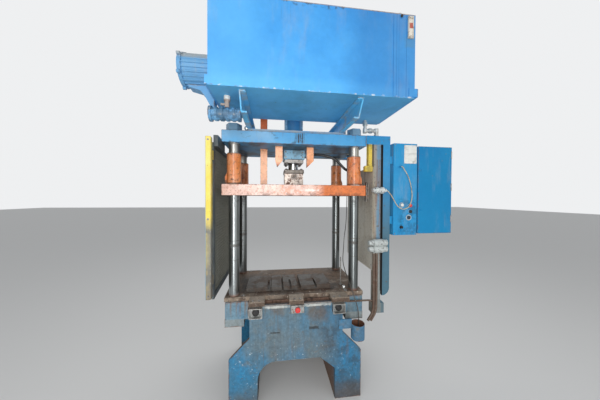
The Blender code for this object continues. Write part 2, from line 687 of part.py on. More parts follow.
def platen(paint, steel, chrome, carriage):
    """The moving plate with its guide sleeves, rod coupling, rod, trip bar and cam."""
    half_x = CROWN_WIDTH / 2
    half_y = CROWN_DEPTH / 2
    low = PLATEN_TOP - PLATEN_THICKNESS
    bore = COLUMN_DIAMETER / 2 + RUNNING
    plate = block("platen_plate", (-half_x, half_x), (-half_y, half_y), (low, PLATEN_TOP), paint, carriage)
    bevel(plate, PLATEN_THICKNESS / 30)
    combine(plate, column_cutter("cut_platen", bore, low - OVERRUN, PLATEN_TOP + OVERRUN, paint, carriage))
    foot = PLATEN_TOP + GAP
    outer = SLEEVE_DIAMETER / 2
    profile = ((bore, 0), (outer, 0), (outer, SLEEVE_HEIGHT), (bore, SLEEVE_HEIGHT))
    corners = ("front_left", "front_right", "back_left", "back_right")
    for corner, place in zip(corners, column_places(foot)):
        sleeve = turned(f"guide_sleeve_{corner}", profile, "z", place, paint, carriage)
        side = math.copysign(1, place[0])
        wall = (outer - bore) / 2
        root = place[0] + side * (outer - wall)
        tip = place[0] + side * (outer + GUSSET_REACH)
        shape = [(root, foot), (tip, foot), (tip, foot + GUSSET_HEIGHT / 2), (root, foot + GUSSET_HEIGHT)]
        half = GUSSET_THICKNESS / 2
        gusset = prism(f"join_gusset_{corner}", shape, "y", place[1] - half, place[1] + half, paint, carriage)
        combine(sleeve, gusset, "UNION")
    half = COUPLING_SIZE / 2
    middle = foot + COUPLING_BLOCK
    coupling = block("rod_coupling", (-half, half), (-half, half), (middle, COUPLING_TOP), steel, carriage)
    bevel(coupling, COUPLING_FLANGE / 6)
    half -= COUPLING_FLANGE / 6
    combine(coupling, block("join_coupling", (-half, half), (-half, half), (foot, middle + BOLT_BITE * 2), steel,
                            carriage), "UNION")
    low = COUPLING_TOP + GAP
    crown_of_piston = CROWN_UNDERSIDE + BARREL_HEIGHT - PISTON_DROP
    seat = crown_of_piston - PISTON_THICKNESS
    profile = ((0, low), (ROD_RADIUS, low), (ROD_RADIUS, seat), (BARREL_BORE - RUNNING, seat),
               (BARREL_BORE - RUNNING, crown_of_piston), (0, crown_of_piston))
    turned("piston_rod", profile, "z", (0, 0, 0), chrome, carriage)
    half = BAR_THICKNESS / 2
    shape = [(TRIP_Y - half, foot), (TRIP_Y + half + TRIP_LUG, foot), (TRIP_Y + half + TRIP_LUG, foot + half),
             (TRIP_Y + half, foot + half), (TRIP_Y + half, TRIP_TOP), (TRIP_Y - half, TRIP_TOP)]
    prism("trip_bar", shape, "x", TRIP_X - BAR_WIDTH / 2, TRIP_X + BAR_WIDTH / 2, paint, carriage)
    bottom = PLATEN_TOP - PLATEN_THICKNESS - CAM_BELOW
    end = half_x + GAP
    chamfer = CAM_THICKNESS / 2
    shape = [(end, bottom), (end + chamfer, bottom), (end + CAM_THICKNESS, bottom + CAM_THICKNESS),
             (end + CAM_THICKNESS, bottom + CAM_LENGTH - CAM_THICKNESS), (end + chamfer, bottom + CAM_LENGTH),
             (end, bottom + CAM_LENGTH)]
    prism("cam_plate", shape, "y", CAM_Y - CAM_DEPTH / 2, CAM_Y + CAM_DEPTH / 2, steel, carriage)


def cylinder(paint, steel, press):
    """Head block and retainer below the crown, barrel through it, and a cap held by tie rods."""
    half = HEAD_SIZE / 2
    low = CROWN_UNDERSIDE - HEAD_HEIGHT
    clear = ROD_RADIUS + 2 * GAP
    head = block("cylinder_head", (-half, half), (-half, half), (low, CROWN_UNDERSIDE - GAP), steel, press)
    bevel(head, HEAD_HEIGHT / 16)
    combine(head, rod("cut_head", clear, HEAD_HEIGHT + 2 * OVERRUN, "z", (0, 0, low - OVERRUN), steel, press))
    reach = half * TIE_ROD_SHARE
    corners = [(x * reach, y * reach) for x in (-1, 1) for y in (-1, 1)]
    nuts = repeated("join_tie_nuts", lambda title: hexagon(title, TIE_NUT_FLATS, TIE_NUT_HEIGHT + BOLT_BITE, "z",
                                                           (0, 0, 0), steel, press),
                    [(x, y, low - TIE_NUT_HEIGHT) for x, y in corners], steel, press)
    combine(head, nuts, "UNION")
    profile = ((clear, RETAINER_BOTTOM), (RETAINER_RADIUS, RETAINER_BOTTOM), (RETAINER_RADIUS, low + BOLT_BITE),
               (clear, low + BOLT_BITE))
    combine(head, turned("join_retainer", profile, "z", (0, 0, 0), steel, press), "UNION")
    port = rod("join_port", HOSE_FITTING_RADIUS, HOSE_FITTING_LENGTH + BOLT_BITE, "x",
               (half - BOLT_BITE, HOSE_ROUTE[0][1], HOSE_ROUTE[0][2]), steel, press, SMALL_SIDES)
    combine(head, port, "UNION")
    top = CROWN_UNDERSIDE + BARREL_HEIGHT
    profile = ((BARREL_BORE, CROWN_UNDERSIDE), (BARREL_RADIUS, CROWN_UNDERSIDE), (BARREL_RADIUS, top),
               (BARREL_BORE, top))
    turned("cylinder_barrel", profile, "z", (0, 0, 0), paint, press)
    half = CAP_SIZE / 2
    cap = block("cylinder_cap", (-half, half), (-half, half), (top + GAP, top + CAP_THICKNESS), steel, press)
    foot = CROWN_TOP + GAP
    rods = repeated("join_tie_rods", lambda title: rod(title, TIE_ROD_RADIUS, top + CAP_THICKNESS / 2 - foot, "z",
                                                       (0, 0, 0), steel, press, SMALL_SIDES),
                    [(x, y, foot) for x, y in corners], steel, press)
    combine(cap, rods, "UNION")


def stop_bars(paint, press):
    """Two bars with wedge tips that hang from the crown in front of the cylinder."""
    high = CROWN_UNDERSIDE - GAP
    low = high - STOP_LENGTH
    half = BAR_WIDTH / 2
    for middle, tip, name in zip(STOP_X, (-half / 2, -half), ("left", "right")):
        shape = [(middle - half, high), (middle - half, low + STOP_WEDGE), (middle + tip, low),
                 (middle + half, low + STOP_WEDGE), (middle + half, high)]
        if tip == -half:
            shape.pop(1)
        prism(f"stop_bar_{name}", shape, "y", STOP_Y - BAR_THICKNESS / 2, STOP_Y + BAR_THICKNESS / 2, paint, press)


def crown_fittings(paint, press):
    """Stub fittings screwed into the crown on either side of the cylinder, and the hose's elbow below."""
    foot = CROWN_TOP - BOLT_BITE
    step = FITTING_HEIGHT / 3
    big = FITTING_RADIUS
    small = FITTING_SMALL_RADIUS
    stub = ((0, 0), (big, 0), (big, step), (small, step), (small, 2 * step), (big, 2 * step), (big, 3 * step),
            (0, 3 * step))
    cone = ((0, 0), (big, 0), (big, step), (small, 2 * step), (small, 3 * step), (0, 3 * step))
    end = HOSE_ROUTE[-1]
    elbow = rod("join_elbow", HOSE_FITTING_RADIUS, CROWN_UNDERSIDE + BOLT_BITE - end[2] - GAP, "z",
                (end[0], end[1], end[2] + GAP), paint, press, SMALL_SIDES)
    line = LINE_ROUTE[0]
    inner = CROWN_DEPTH / 2 - BOLT_BITE
    clip = block("join_clip", (line[0] - LINE_DIAMETER * 11, line[0] + LINE_DIAMETER),
                 (inner, line[1] + LINE_DIAMETER), (CROWN_UNDERSIDE, CROWN_UNDERSIDE + LINE_DIAMETER * 3), paint, press)
    return (turned("join_fitting_left", stub, "z", (FITTING_LEFT_X, 0, foot), paint, press, SMALL_SIDES),
            turned("join_fitting_right", cone, "z", (FITTING_RIGHT_X, 0, foot), paint, press, SMALL_SIDES),
            elbow, clip)


def tank(paint, steel, press):
    """A welded sheet tank with a flush lid, a rim at each end, a seam strip, a gauge and a breather."""
    wide = (-TANK_LEFT, TANK_RIGHT)
    deep = (-TANK_FRONT, -TANK_BACK)
    shell_top = TANK_TOP - TANK_WALL - GAP
    shell = block("tank_shell", wide, deep, (TANK_BOTTOM, shell_top), paint, press)
    inside = block("cut_tank", (wide[0] + TANK_WALL, wide[1] - TANK_WALL), (deep[0] + TANK_WALL, deep[1] - TANK_WALL),
                   (TANK_BOTTOM + TANK_WALL, shell_top + OVERRUN), paint, press)
    combine(shell, inside)
    lid = block("tank_lid", wide, deep, (TANK_TOP - TANK_WALL, TANK_TOP), paint, press)
    rim = (TANK_BOTTOM + RIM_RAISE, TANK_BOTTOM + RIM_RAISE + RIM_HEIGHT)
    bite = TANK_WALL / 2
    left_rim = block("join_rim_left", (wide[0] - RIM_THICKNESS, wide[0] + bite), (deep[0] + bite, deep[1] - bite),
                     rim, paint, press)
    combine(shell, left_rim, "UNION")
    end = wide[1]
    face = deep[0]
    shape = [(end - bite, deep[1] - bite), (end - bite, face + bite), (end - RIM_TAB, face + bite),
             (end - RIM_TAB, face - RIM_PROUD), (end + RIM_THICKNESS, face - RIM_PROUD),
             (end + RIM_THICKNESS, deep[1] - bite)]
    combine(shell, prism("join_rim_right", shape, "z", rim[0], rim[1], paint, press), "UNION")
    strip = (SEAM_CENTRE - SEAM_WIDTH / 2, SEAM_CENTRE + SEAM_WIDTH / 2)
    seam = block("join_seam", strip, (face - SEAM_PROUD, face + bite), (TANK_BOTTOM + bite, shell_top - bite),
                 paint, press)
    combine(shell, seam, "UNION")
    face -= GAP
    gauge = (GAUGE_CENTRE - GAUGE_WIDTH / 2, GAUGE_CENTRE + GAUGE_WIDTH / 2)
    level = block("level_gauge", gauge, (face - GAUGE_PROUD, face),
                  (shell_top - GAUGE_HEIGHT - GAUGE_PROUD, shell_top - GAUGE_PROUD), steel, press)
    bevel(level, GAUGE_PROUD / 3)
    radius = BREATHER_DIAMETER / 2
    neck = radius * BREATHER_NECK_SHARE
    profile = ((0, 0), (neck, 0), (neck, BREATHER_HEIGHT / 3), (radius, BREATHER_HEIGHT / 2),
               (radius, BREATHER_HEIGHT), (0, BREATHER_HEIGHT))
    breather = turned("join_breather", profile, "z", (SEAM_CENTRE + BREATHER_INSET, deep[0] + BREATHER_INSET,
                                                      TANK_TOP - bite), steel, press, SMALL_SIDES)
    combine(lid, breather, "UNION")


def motor(paint, press):
    """A ribbed motor with its flange on the tank's end, a lugged end bell and a brace below."""
    place = (0, MOTOR_Y, MOTOR_Z)
    seat = -TANK_LEFT - GAP
    neck = seat - MOTOR_FLANGE
    end = neck - MOTOR_LENGTH
    ribs = []
    for number in range(MOTOR_RIBS):
        for share, height in MOTOR_RIB_SHARES:
            radius = MOTOR_RADIUS + height * MOTOR_RIB
            angle = math.tau * (number + share) / MOTOR_RIBS
            ribs.append((MOTOR_Y + radius * math.cos(angle), MOTOR_Z + radius * math.sin(angle)))
    body = prism("motor_body", ribs, "x", end, neck + BOLT_BITE, paint, press)
    flange = turned("join_motor_flange", ((0, neck), (MOTOR_FLANGE_RADIUS, neck), (MOTOR_FLANGE_RADIUS, seat),
                                          (0, seat)), "x", place, paint, press)
    combine(body, flange, "UNION")
    front = end - GAP
    back = front - BELL_LENGTH
    profile = ((0, back - BELL_DOME), (BELL_RADIUS / 2, back - BELL_DOME), (BELL_RADIUS - BELL_DOME, back - BELL_DOME / 3),
               (BELL_RADIUS, back), (BELL_RADIUS, front), (0, front))
    bell = turned("motor_end_bell", profile, "x", place, paint, press)
    lugs = []
    for number in range(LUG_COUNT):
        angle = math.radians(90) + math.tau * number / LUG_COUNT
        lugs.append((back, MOTOR_Y + LUG_RADIUS * math.cos(angle), MOTOR_Z + LUG_RADIUS * math.sin(angle)))
    combine(bell, repeated("join_lugs", lambda title: rod(title, LUG_SIZE / 2, BELL_LENGTH - BOLT_BITE / 2, "x",
                                                          (0, 0, 0), paint, press, SMALL_SIDES), lugs, paint, press),
            "UNION")
    top = MOTOR_Z - MOTOR_RADIUS - MOTOR_RIB - GAP
    shape = [(-TANK_LEFT - out * BRACKET_REACH, top - down * BRACKET_DROP) for out, down in BRACKET_SHARES]
    prism("motor_bracket", shape, "y", MOTOR_Y - BRACKET_WIDTH / 2, MOTOR_Y + BRACKET_WIDTH / 2, paint, press)


def suction_filter(paint, steel, press):
    """A ribbed filter housing that butts against the left channel, with its pipe up to the tank."""
    right = -CHANNEL_SPACING / 2 - GAP
    left = right - FILTER_LENGTH
    pitch = (FILTER_LENGTH - FILTER_COVER) / FILTER_RIBS
    profile = [(0, left), (FILTER_COVER_RADIUS, left), (FILTER_COVER_RADIUS, left + FILTER_COVER)]
    for number in range(FILTER_RIBS):
        start = left + FILTER_COVER + number * pitch
        profile += [(FILTER_RADIUS, start), (FILTER_RADIUS, start + pitch / 2)]
        profile += [(FILTER_RADIUS + FILTER_RIB_HEIGHT, start + pitch / 2), (FILTER_RADIUS + FILTER_RIB_HEIGHT, start + pitch)]
    profile += [(0, right)]
    turned("filter_housing", profile, "x", (0, FILTER_Y, FILTER_Z), paint, press, SMALL_SIDES)
    low = FILTER_Z + FILTER_RADIUS + FILTER_RIB_HEIGHT + GAP
    high = TANK_BOTTOM - GAP
    nut = high - UNION_HEIGHT
    profile = ((0, low), (PIPE_RADIUS, low), (PIPE_RADIUS, nut), (UNION_RADIUS, nut), (UNION_RADIUS, high), (0, high))
    place = (left + PIPE_INSET, FILTER_Y, 0)
    pipe = turned("suction_pipe", profile, "z", place, steel, press, SMALL_SIDES)
    branch = rod("join_branch", PIPE_RADIUS / 2, UNION_HEIGHT + PIPE_RADIUS / 2, "x",
                 (place[0] - PIPE_RADIUS / 2 - UNION_HEIGHT, FILTER_Y, (low + nut) / 2), steel, press, SMALL_SIDES)
    combine(pipe, branch, "UNION")


def left_guard(paint, steel, yellow, press):
    """A framed mesh panel hung from the crown, with a light curtain post in front of it."""
    outer = -GUARD_LEFT_X - GUARD_FRAME
    deep = (-GUARD_FRONT, GUARD_BACK)
    tall = (GUARD_BOTTOM, GUARD_TOP)
    frame = block("guard_frame_left", (outer, -GUARD_LEFT_X), deep, tall, paint, press)
    inside = [(low + GUARD_FRAME_WIDTH, high - GUARD_FRAME_WIDTH) for low, high in (deep, tall)]
    combine(frame, block("cut_guard", (outer - OVERRUN, OVERRUN - GUARD_LEFT_X), *inside, paint, press))
    top = (GUARD_TOP - GUARD_FRAME_WIDTH + BOLT_BITE, CROWN_UNDERSIDE + GUARD_BRACKET_HEIGHT / 2)
    reach = (-GUARD_LEFT_X - BOLT_BITE, -CROWN_WIDTH / 2 - GAP)
    for name, ends in (("front", (BOLT_BITE - GUARD_FRONT, -GUARD_BRACKET_BACK)),
                       ("rear", (GUARD_BRACKET_BACK, GUARD_BACK - BOLT_BITE))):
        combine(frame, block(f"join_bracket_{name}", reach, ends, top, paint, press), "UNION")
    sheet = outer - GAP
    block("guard_mesh_left", (sheet - GUARD_THICKNESS, sheet), deep, tall, steel, press)
    middle = (outer - GUARD_LEFT_X) / 2
    post = block("light_curtain_left", (middle - CURTAIN_WIDTH / 2, middle + CURTAIN_WIDTH / 2),
                 (CURTAIN_Y - CURTAIN_DEPTH / 2, CURTAIN_Y + CURTAIN_DEPTH / 2), (CURTAIN_BOTTOM, CURTAIN_TOP),
                 yellow, press)
    bevel(post, CURTAIN_WIDTH / 10)
    back = (CURTAIN_Y + CURTAIN_DEPTH / 2 - BOLT_BITE, -GUARD_FRONT - GAP)
    for name, low in (("low", CURTAIN_BOTTOM + CURTAIN_TAB), ("high", GUARD_TOP - 2 * CURTAIN_TAB)):
        tab = block(f"join_tab_{name}", (middle - GUARD_FRAME / 3, middle + GUARD_FRAME / 3), back,
                    (low, low + CURTAIN_TAB), yellow, press)
        combine(post, tab, "UNION")


def right_guard(paint, steel, yellow, press):
    """An arm on the crown's end, two posts hung from it, a sheet panel and a yellow limit switch."""
    front = -POST_FACE
    back = front + POST_DEPTH
    frame = block("guard_posts_right", (CROWN_WIDTH / 2 + GAP, ARM_END), (front, back), (ARM_UNDERSIDE, ARM_TOP),
                  paint, press)
    left, right = POST_INNER
    high = ARM_UNDERSIDE + BOLT_BITE
    section = [(left, front), (right, front), (right, back), (right - POST_WALL, back),
               (right - POST_WALL, front + POST_WALL), (left + POST_WALL, front + POST_WALL), (left + POST_WALL, back),
               (left, back)]
    box_top = POST_BOTTOM - POST_BEND
    combine(frame, prism("join_post_inner", section, "z", box_top - BOLT_BITE, high, paint, press), "UNION")
    left, right = POST_OUTER
    radius = right - left
    shape = [(right, high), (left, high)] + arc((left, POST_BOTTOM + radius), radius, -90, 0)
    combine(frame, prism("join_post_outer", shape, "y", front, back, paint, press), "UNION")
    case = block("join_junction", JUNCTION_BOX, (front, front + JUNCTION_DEPTH), (box_top - JUNCTION_HEIGHT, box_top),
                 paint, press)
    combine(frame, case, "UNION")
    left, right = UPPER_FITTING
    big = UPPER_FITTING_RADIUS
    neck, waist, tail = (big * share for share in UPPER_FITTING_SHARES)
    step = (right - left) / UPPER_FITTING_STEPS
    profile = [(0, left)]
    for number, radius in enumerate((neck, big, waist, big, tail)):
        profile += [(radius, left + number * step), (radius, left + (number + 1) * step)]
    profile.append((0, right))
    combine(frame, turned("join_fitting_upper", profile, "x", (0, front - big + BOLT_BITE, UPPER_FITTING_Z), steel,
                          press, SMALL_SIDES), "UNION")
    side = POST_INNER[0] - GAP
    block("guard_panel_right", (side - GUARD_THICKNESS, side), (front + BOLT_BITE + GAP, RIGHT_PANEL_BACK),
          (RIGHT_PANEL_BOTTOM, RIGHT_PANEL_TOP), steel, press)
    switch = block("limit_switch", SWITCH_BAR, (front, back), (SWITCH_BAR_BOTTOM - BOLT_BITE, ARM_UNDERSIDE - GAP),
                   yellow, press)
    head = block("join_switch_head", SWITCH_HEAD, (front, back + BOLT_BITE),
                 (SWITCH_BAR_BOTTOM - SWITCH_HEAD_HEIGHT, SWITCH_BAR_BOTTOM), yellow, press)
    bevel(head, SWITCH_HEAD_HEIGHT / 8)
    combine(switch, head, "UNION")


def conduits(steel, rust, press):
    """A twin fitting on the posts with two conduits below it, and a cross conduit from the base."""
    left, right = LOWER_FITTING
    big = LOWER_FITTING_RADIUS
    middle = -POST_FACE - GAP - big
    small, mouth = (big * share for share in LOWER_FITTING_SHARES)
    step = (right - left) / LOWER_FITTING_STEPS
    profile = ((0, left), (small, left), (mouth, left + step), (big, left + step), (big, right - step),
               (mouth, right - step), (mouth, right), (0, right))
    half = LOWER_FITTING_SPREAD / 2
    body = turned("conduit_drop", profile, "x", (0, middle, LOWER_FITTING_Z + half), steel, press, SMALL_SIDES)
    combine(body, turned("join_twin", profile, "x", (0, middle, LOWER_FITTING_Z - half), steel, press, SMALL_SIDES),
            "UNION")
    high = LOWER_FITTING_Z - half
    for number, share in enumerate(CONDUIT_PLACE_SHARES, 1):
        x = left + share * (right - left)
        route = [(x + CONDUIT_BEND * out, middle, high + (CONDUIT_BOTTOM - high) * down)
                 for out, down in CONDUIT_BEND_SHARES]
        pipe = cord(f"join_conduit_{number}", route, CONDUIT_RADIUS * 2, rust, press)
        combine(body, solid_of(pipe, press), "UNION")
    x = left + CONDUIT_PLACE_SHARES[0] * (right - left) - CONDUIT_RADIUS - GAP
    start = ARCH_HALF + BASE_PLATE + GAP
    sag = CONDUIT_RADIUS / 2
    low = BED_UNDERSIDE - CROSS_DROP
    rear = -POST_FACE - CONDUIT_RADIUS - GAP
    route = [(start, rear, low), (start + (x - start) / 2, rear, low - sag), (x - CROSS_DROP, (rear + middle) / 2, low),
             (x, middle, low)]
    cord("conduit_cross", route, CROSS_DIAMETER, rust, press)


def solid_of(curve, press):
    """The tube of a curve as a mesh object, so that a boolean can use it."""
    view = bpy.context.evaluated_depsgraph_get()
    view.update()
    mesh = bpy.data.meshes.new_from_object(curve.evaluated_get(view))
    item = bpy.data.objects.new(curve.name + "_solid", mesh)
    bpy.context.collection.objects.link(item)
    item.parent = press
    bpy.data.objects.remove(curve)
    return item


def button(name, cap, length, stem, root, back, x, z, material, parent):
    """A round push button: its cap ends at back, and its stem reaches to root."""
    edge, side = (share * size for share, size in zip(BUTTON_SHARES, (cap, length)))
    profile = ((0, back - length), (edge, back - length), (cap, back - side), (cap, back), (stem, back),
               (stem, root), (0, root))
    pivot = empty(f"axis_{name}", parent, (x, 0, z))
    return turned(name, profile, "y", (0, 0, 0), material, pivot, SMALL_SIDES)


def pan_cutter(name, x, y, z, material, parent):
    """What is cut from the back of a folded sheet door to leave its skin and its rim."""
    rim = 2 * SHEET
    return block(name, (x[0] + rim, x[1] - rim), (y[0] + SHEET, y[1] + OVERRUN), (z[0] + rim, z[1] - rim), material,
                 parent)


def control_box(paint, steel, colours, press):
    """A sheet box on hangers with a cover that carries the buttons, the selector and the cable gland."""
    wide = (BOX_LEFT, BOX_LEFT + BOX_WIDTH)
    tall = (BOX_BOTTOM, BOX_TOP)
    seam = -BOX_FACE + BOX_DOOR
    deep = (seam + GAP, -BOX_FACE + BOX_DEPTH)
    body = block("control_box", wide, deep, tall, paint, press)
    combine(body, block("cut_box", (wide[0] + SHEET, wide[1] - SHEET), (seam - OVERRUN, deep[1] - SHEET),
                        (tall[0] + SHEET, tall[1] - SHEET), paint, press))
    for number, height in enumerate(HANGER_Z, 1):
        hanger = block(f"join_hanger_{number}", (POST_OUTER[1] + GAP, BOX_LEFT + SHEET / 2),
                       (deep[0] + GAP, deep[0] + HANGER_THICKNESS),
                       (height - HANGER_HEIGHT / 2, height + HANGER_HEIGHT / 2), paint, press)
        combine(body, hanger, "UNION")
    cover = block("control_box_cover", wide, (-BOX_FACE, seam), tall, paint, press)
    bevel(cover, BOX_DOOR / 6)
    combine(cover, pan_cutter("cut_cover", wide, (-BOX_FACE, seam), tall, paint, press))
    devices = {"push_white": WHITE_PLACE, "push_red": RED_PLACE, "push_black": BLACK_PLACE,
               "selector_switch": SELECTOR_PLACE}
    cap_back = -BOX_FACE - DEVICE_TRAVEL - GAP
    root = -BOX_FACE + DEVICE_STEM
    for name, (across, up) in devices.items():
        x = BOX_LEFT + across
        z = BOX_BOTTOM + up
        combine(cover, rod(f"cut_{name}", DEVICE_STEM + GAP, BOX_DOOR + 2 * OVERRUN, "y",
                           (x, -BOX_FACE - OVERRUN, z), paint, press, SMALL_SIDES))
        inner = DEVICE_RADIUS + RUNNING
        ring = ((inner, -BOX_FACE - DEVICE_PROUD / 2), (DEVICE_BEZEL, -BOX_FACE - DEVICE_PROUD / 2),
                (DEVICE_BEZEL, -BOX_FACE + BOLT_BITE), (inner, -BOX_FACE + BOLT_BITE))
        combine(cover, turned(f"join_bezel_{name}", ring, "y", (x, 0, z), steel, press, SMALL_SIDES), "UNION")
        piece = button(name, DEVICE_RADIUS, DEVICE_PROUD - DEVICE_TRAVEL, DEVICE_STEM, root, cap_back, x, z,
                       colours[name], press)
        if name == "selector_switch":
            front = cap_back - DEVICE_PROUD + DEVICE_TRAVEL
            low, high = (share * DEVICE_RADIUS for share in GRIP_SHARES)
            grip = block("join_grip", (-DEVICE_RADIUS / 3, DEVICE_RADIUS / 3),
                         (front - DEVICE_PROUD / 2, front + BOLT_BITE / 2), (low, high), colours[name], piece.parent)
            combine(piece, grip, "UNION")
    x, z = BOX_LEFT + GLAND_PLACE[0], BOX_BOTTOM + GLAND_PLACE[1]
    gland = rod("join_gland", GLAND_RADIUS, GLAND_LENGTH + BOLT_BITE, "y", (x, -BOX_FACE - GLAND_LENGTH, z), steel,
                press, SMALL_SIDES)
    combine(cover, gland, "UNION")
    x, z = BOX_LEFT + PAIR_PLACE[0], BOX_BOTTOM + PAIR_PLACE[1]
    plug = block("join_pair", (x - DEVICE_RADIUS, x + DEVICE_RADIUS), (-BOX_FACE - DEVICE_PROUD / 2,
                                                                      -BOX_FACE + BOLT_BITE),
                 (z - DEVICE_RADIUS * 1.5, z + DEVICE_RADIUS * 1.5), steel, press)
    combine(cover, plug, "UNION")


def cabinet(paint, press):
    """A wider cabinet beside the control box, open at the front behind a hinged door."""
    left = BOX_LEFT + BOX_WIDTH + CABINET_SPACE
    wide = (left, left + CABINET_WIDTH)
    tall = (CABINET_BOTTOM, CABINET_TOP)
    seam = -BOX_FACE + BOX_DOOR
    deep = (seam + GAP, -BOX_FACE + CABINET_DEPTH)
    body = block("control_cabinet", wide, deep, tall, paint, press)
    combine(body, block("cut_cabinet", (wide[0] + SHEET, wide[1] - SHEET), (seam - OVERRUN, deep[1] - SHEET),
                        (tall[0] + SHEET, tall[1] - SHEET), paint, press))
    for number, height in enumerate(HANGER_Z, 1):
        spacer = block(f"join_spacer_{number}", (left - CABINET_SPACE + GAP, left + SHEET / 2),
                       (deep[0] + HANGER_THICKNESS, -BOX_FACE + BOX_DEPTH - HANGER_THICKNESS),
                       (height - HANGER_HEIGHT / 2, height + HANGER_HEIGHT / 2), paint, press)
        combine(body, spacer, "UNION")
    hinge = empty("axis_cabinet_door", press, (wide[1], seam, 0))
    door = block("cabinet_door", (-CABINET_WIDTH, 0), (-BOX_DOOR, 0), tall, paint, hinge)
    bevel(door, BOX_DOOR / 6)
    combine(door, pan_cutter("cut_door", (-CABINET_WIDTH, 0), (-BOX_DOOR, 0), tall, paint, hinge))


def operator_controls(steel, black, red, press):
    """Two shrouded palm buttons and an emergency stop on the front plate, below the tongues."""
    seat = -BASE_FRONT - GAP
    top = BED_UNDERSIDE - 2 * GAP
    for x, side in zip(PALM_X, ("left", "right")):
        wide = (x - PALM_WIDTH / 2, x + PALM_WIDTH / 2)
        tall = (top - PALM_HEIGHT, top)
        middle = sum(tall) / 2
        floor = seat - PALM_BACK
        case = block(f"palm_box_{side}", wide, (seat - PALM_DEPTH, seat), tall, steel, press)
        combine(case, block(f"cut_palm_{side}", (wide[0] + PALM_WALL, wide[1] - PALM_WALL),
                            (seat - PALM_DEPTH - OVERRUN, floor), (tall[0] + PALM_WALL, tall[1] - PALM_WALL),
                            steel, press))
        combine(case, rod(f"cut_stem_{side}", PALM_STEM + GAP, PALM_BACK + 2 * OVERRUN, "y",
                          (x, floor - OVERRUN, middle), steel, press, SMALL_SIDES))
        button(f"palm_button_{side}", PALM_RADIUS, PALM_CAP, PALM_STEM, floor + PALM_BACK / 6,
               floor - PALM_TRAVEL - GAP, x, middle, black, press)
    front = seat - STOP_BOX_DEPTH
    middle = top - STOP_BOX_HEIGHT / 2
    wide = (STOP_BOX_X - STOP_BOX_WIDTH / 2, STOP_BOX_X + STOP_BOX_WIDTH / 2)
    case = block("stop_button_box", wide, (front, seat), (top - STOP_BOX_HEIGHT, top), steel, press)
    bevel(case, STOP_BOX_DEPTH / 10)
    combine(case, rod("cut_stop_stem", PALM_STEM + GAP, STOP_BOX_DEPTH + 2 * OVERRUN, "y",
                      (STOP_BOX_X, front - OVERRUN, middle), steel, press, SMALL_SIDES))
    button("stop_button", STOP_BUTTON_RADIUS, PALM_CAP, PALM_STEM, front + PALM_TRAVEL,
           front - PALM_TRAVEL - GAP, STOP_BOX_X, middle, red, press)


def drip_cup(paint, press):
    """An open cup on a flat arm from the front plate's edge."""
    inner = CUP_RADIUS - CUP_WALL
    floor = CUP_BOTTOM + CUP_WALL
    profile = ((0, CUP_BOTTOM), (CUP_RADIUS, CUP_BOTTOM), (CUP_RADIUS, CUP_TOP), (inner, CUP_TOP), (inner, floor),
               (0, floor))
    cup = turned("drip_cup", profile, "z", (CUP_X, CUP_Y, 0), paint, press)
    seat = -BASE_FRONT - GAP
    arm = block("join_arm", (BASE_TOP_HALF - CUP_ARM_OVERLAP, CUP_X - CUP_RADIUS + CUP_WALL / 2),
                (seat - CUP_ARM_THICKNESS, seat), (CUP_TOP - CUP_ARM_HEIGHT / 2, CUP_TOP + CUP_ARM_HEIGHT / 2), paint,
                press)
    combine(cup, arm, "UNION")


def press_place():
    """Where the middle of the columns stands, so that the origin is the bounding box's bottom centre."""
    left = -TANK_LEFT - 2 * GAP - MOTOR_FLANGE - MOTOR_LENGTH - BELL_LENGTH - BELL_DOME
    right = BOX_LEFT + BOX_WIDTH + CABINET_SPACE + CABINET_WIDTH
    front = -TANK_FRONT - GAP - GAUGE_PROUD
    back = LINE_ROUTE[0][1] + LINE_DIAMETER
    return (-(left + right) / 2, -(front + back) / 2, 0)


def main():
    for item in list(bpy.data.objects):
        bpy.data.objects.remove(item)
    blue = look("sky_blue_paint", (0.10, 0.36, 0.62), 0.45)
    faded = look("faded_blue_paint", (0.14, 0.30, 0.46), 0.7)
    orange = look("orange_paint", (0.80, 0.25, 0.08), 0.5)
    yellow = look("yellow_paint", (0.80, 0.62, 0.05), 0.5)
    chrome = look("chrome", (0.75, 0.75, 0.75), 0.15, 1)
    steel = look("bare_steel", (0.35, 0.33, 0.31), 0.5, 1)
    rust = look("rusty_steel", (0.25, 0.16, 0.11), 0.8)
    mesh_grey = look("dark_grey", (0.10, 0.10, 0.10), 0.7)
    rubber = look("black_rubber", (0.02, 0.02, 0.02), 0.6)
    black = look("black_plastic", (0.02, 0.02, 0.02), 0.4)
    red = look("red_plastic", (0.70, 0.05, 0.03), 0.4)
    white = look("white_plastic", (0.75, 0.75, 0.72), 0.4)
    press = empty("press", None, press_place())
    carriage = empty("platen_carriage", press)
    base(faded, press)
    beams(faded, press)
    bed(rust, press)
    columns(chrome, steel, press)
    crown(blue, press)
    platen(orange, steel, chrome, carriage)
    cylinder(blue, steel, press)
    stop_bars(orange, press)
    tank(blue, steel, press)
    motor(blue, press)
    suction_filter(blue, steel, press)
    left_guard(blue, mesh_grey, yellow, press)
    right_guard(blue, steel, yellow, press)
    conduits(steel, rust, press)
    colours = {"push_white": white, "push_red": red, "push_black": black, "selector_switch": steel}
    control_box(blue, steel, colours, press)
    cabinet(blue, press)
    operator_controls(steel, black, red, press)
    drip_cup(faded, press)
    cord("pressure_hose", HOSE_ROUTE, HOSE_DIAMETER, rubber, press, resolution=3)
    cord("lube_line", LINE_ROUTE, LINE_DIAMETER, rubber, press)
    cord("control_cable", CABLE_ROUTE, CABLE_DIAMETER, rubber, press)


main()
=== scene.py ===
# %% [markdown]
# # A four-post hydraulic press
# The real machine is a welded steel frame with four chromed columns, a platen that a cylinder drives
# down them, and an oil tank on top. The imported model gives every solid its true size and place, so
# this script only dresses it: finishes for each piece, and the fine parts that a solid leaves out.
# The model is loaded first, because everything else is placed by it.

import json
import math

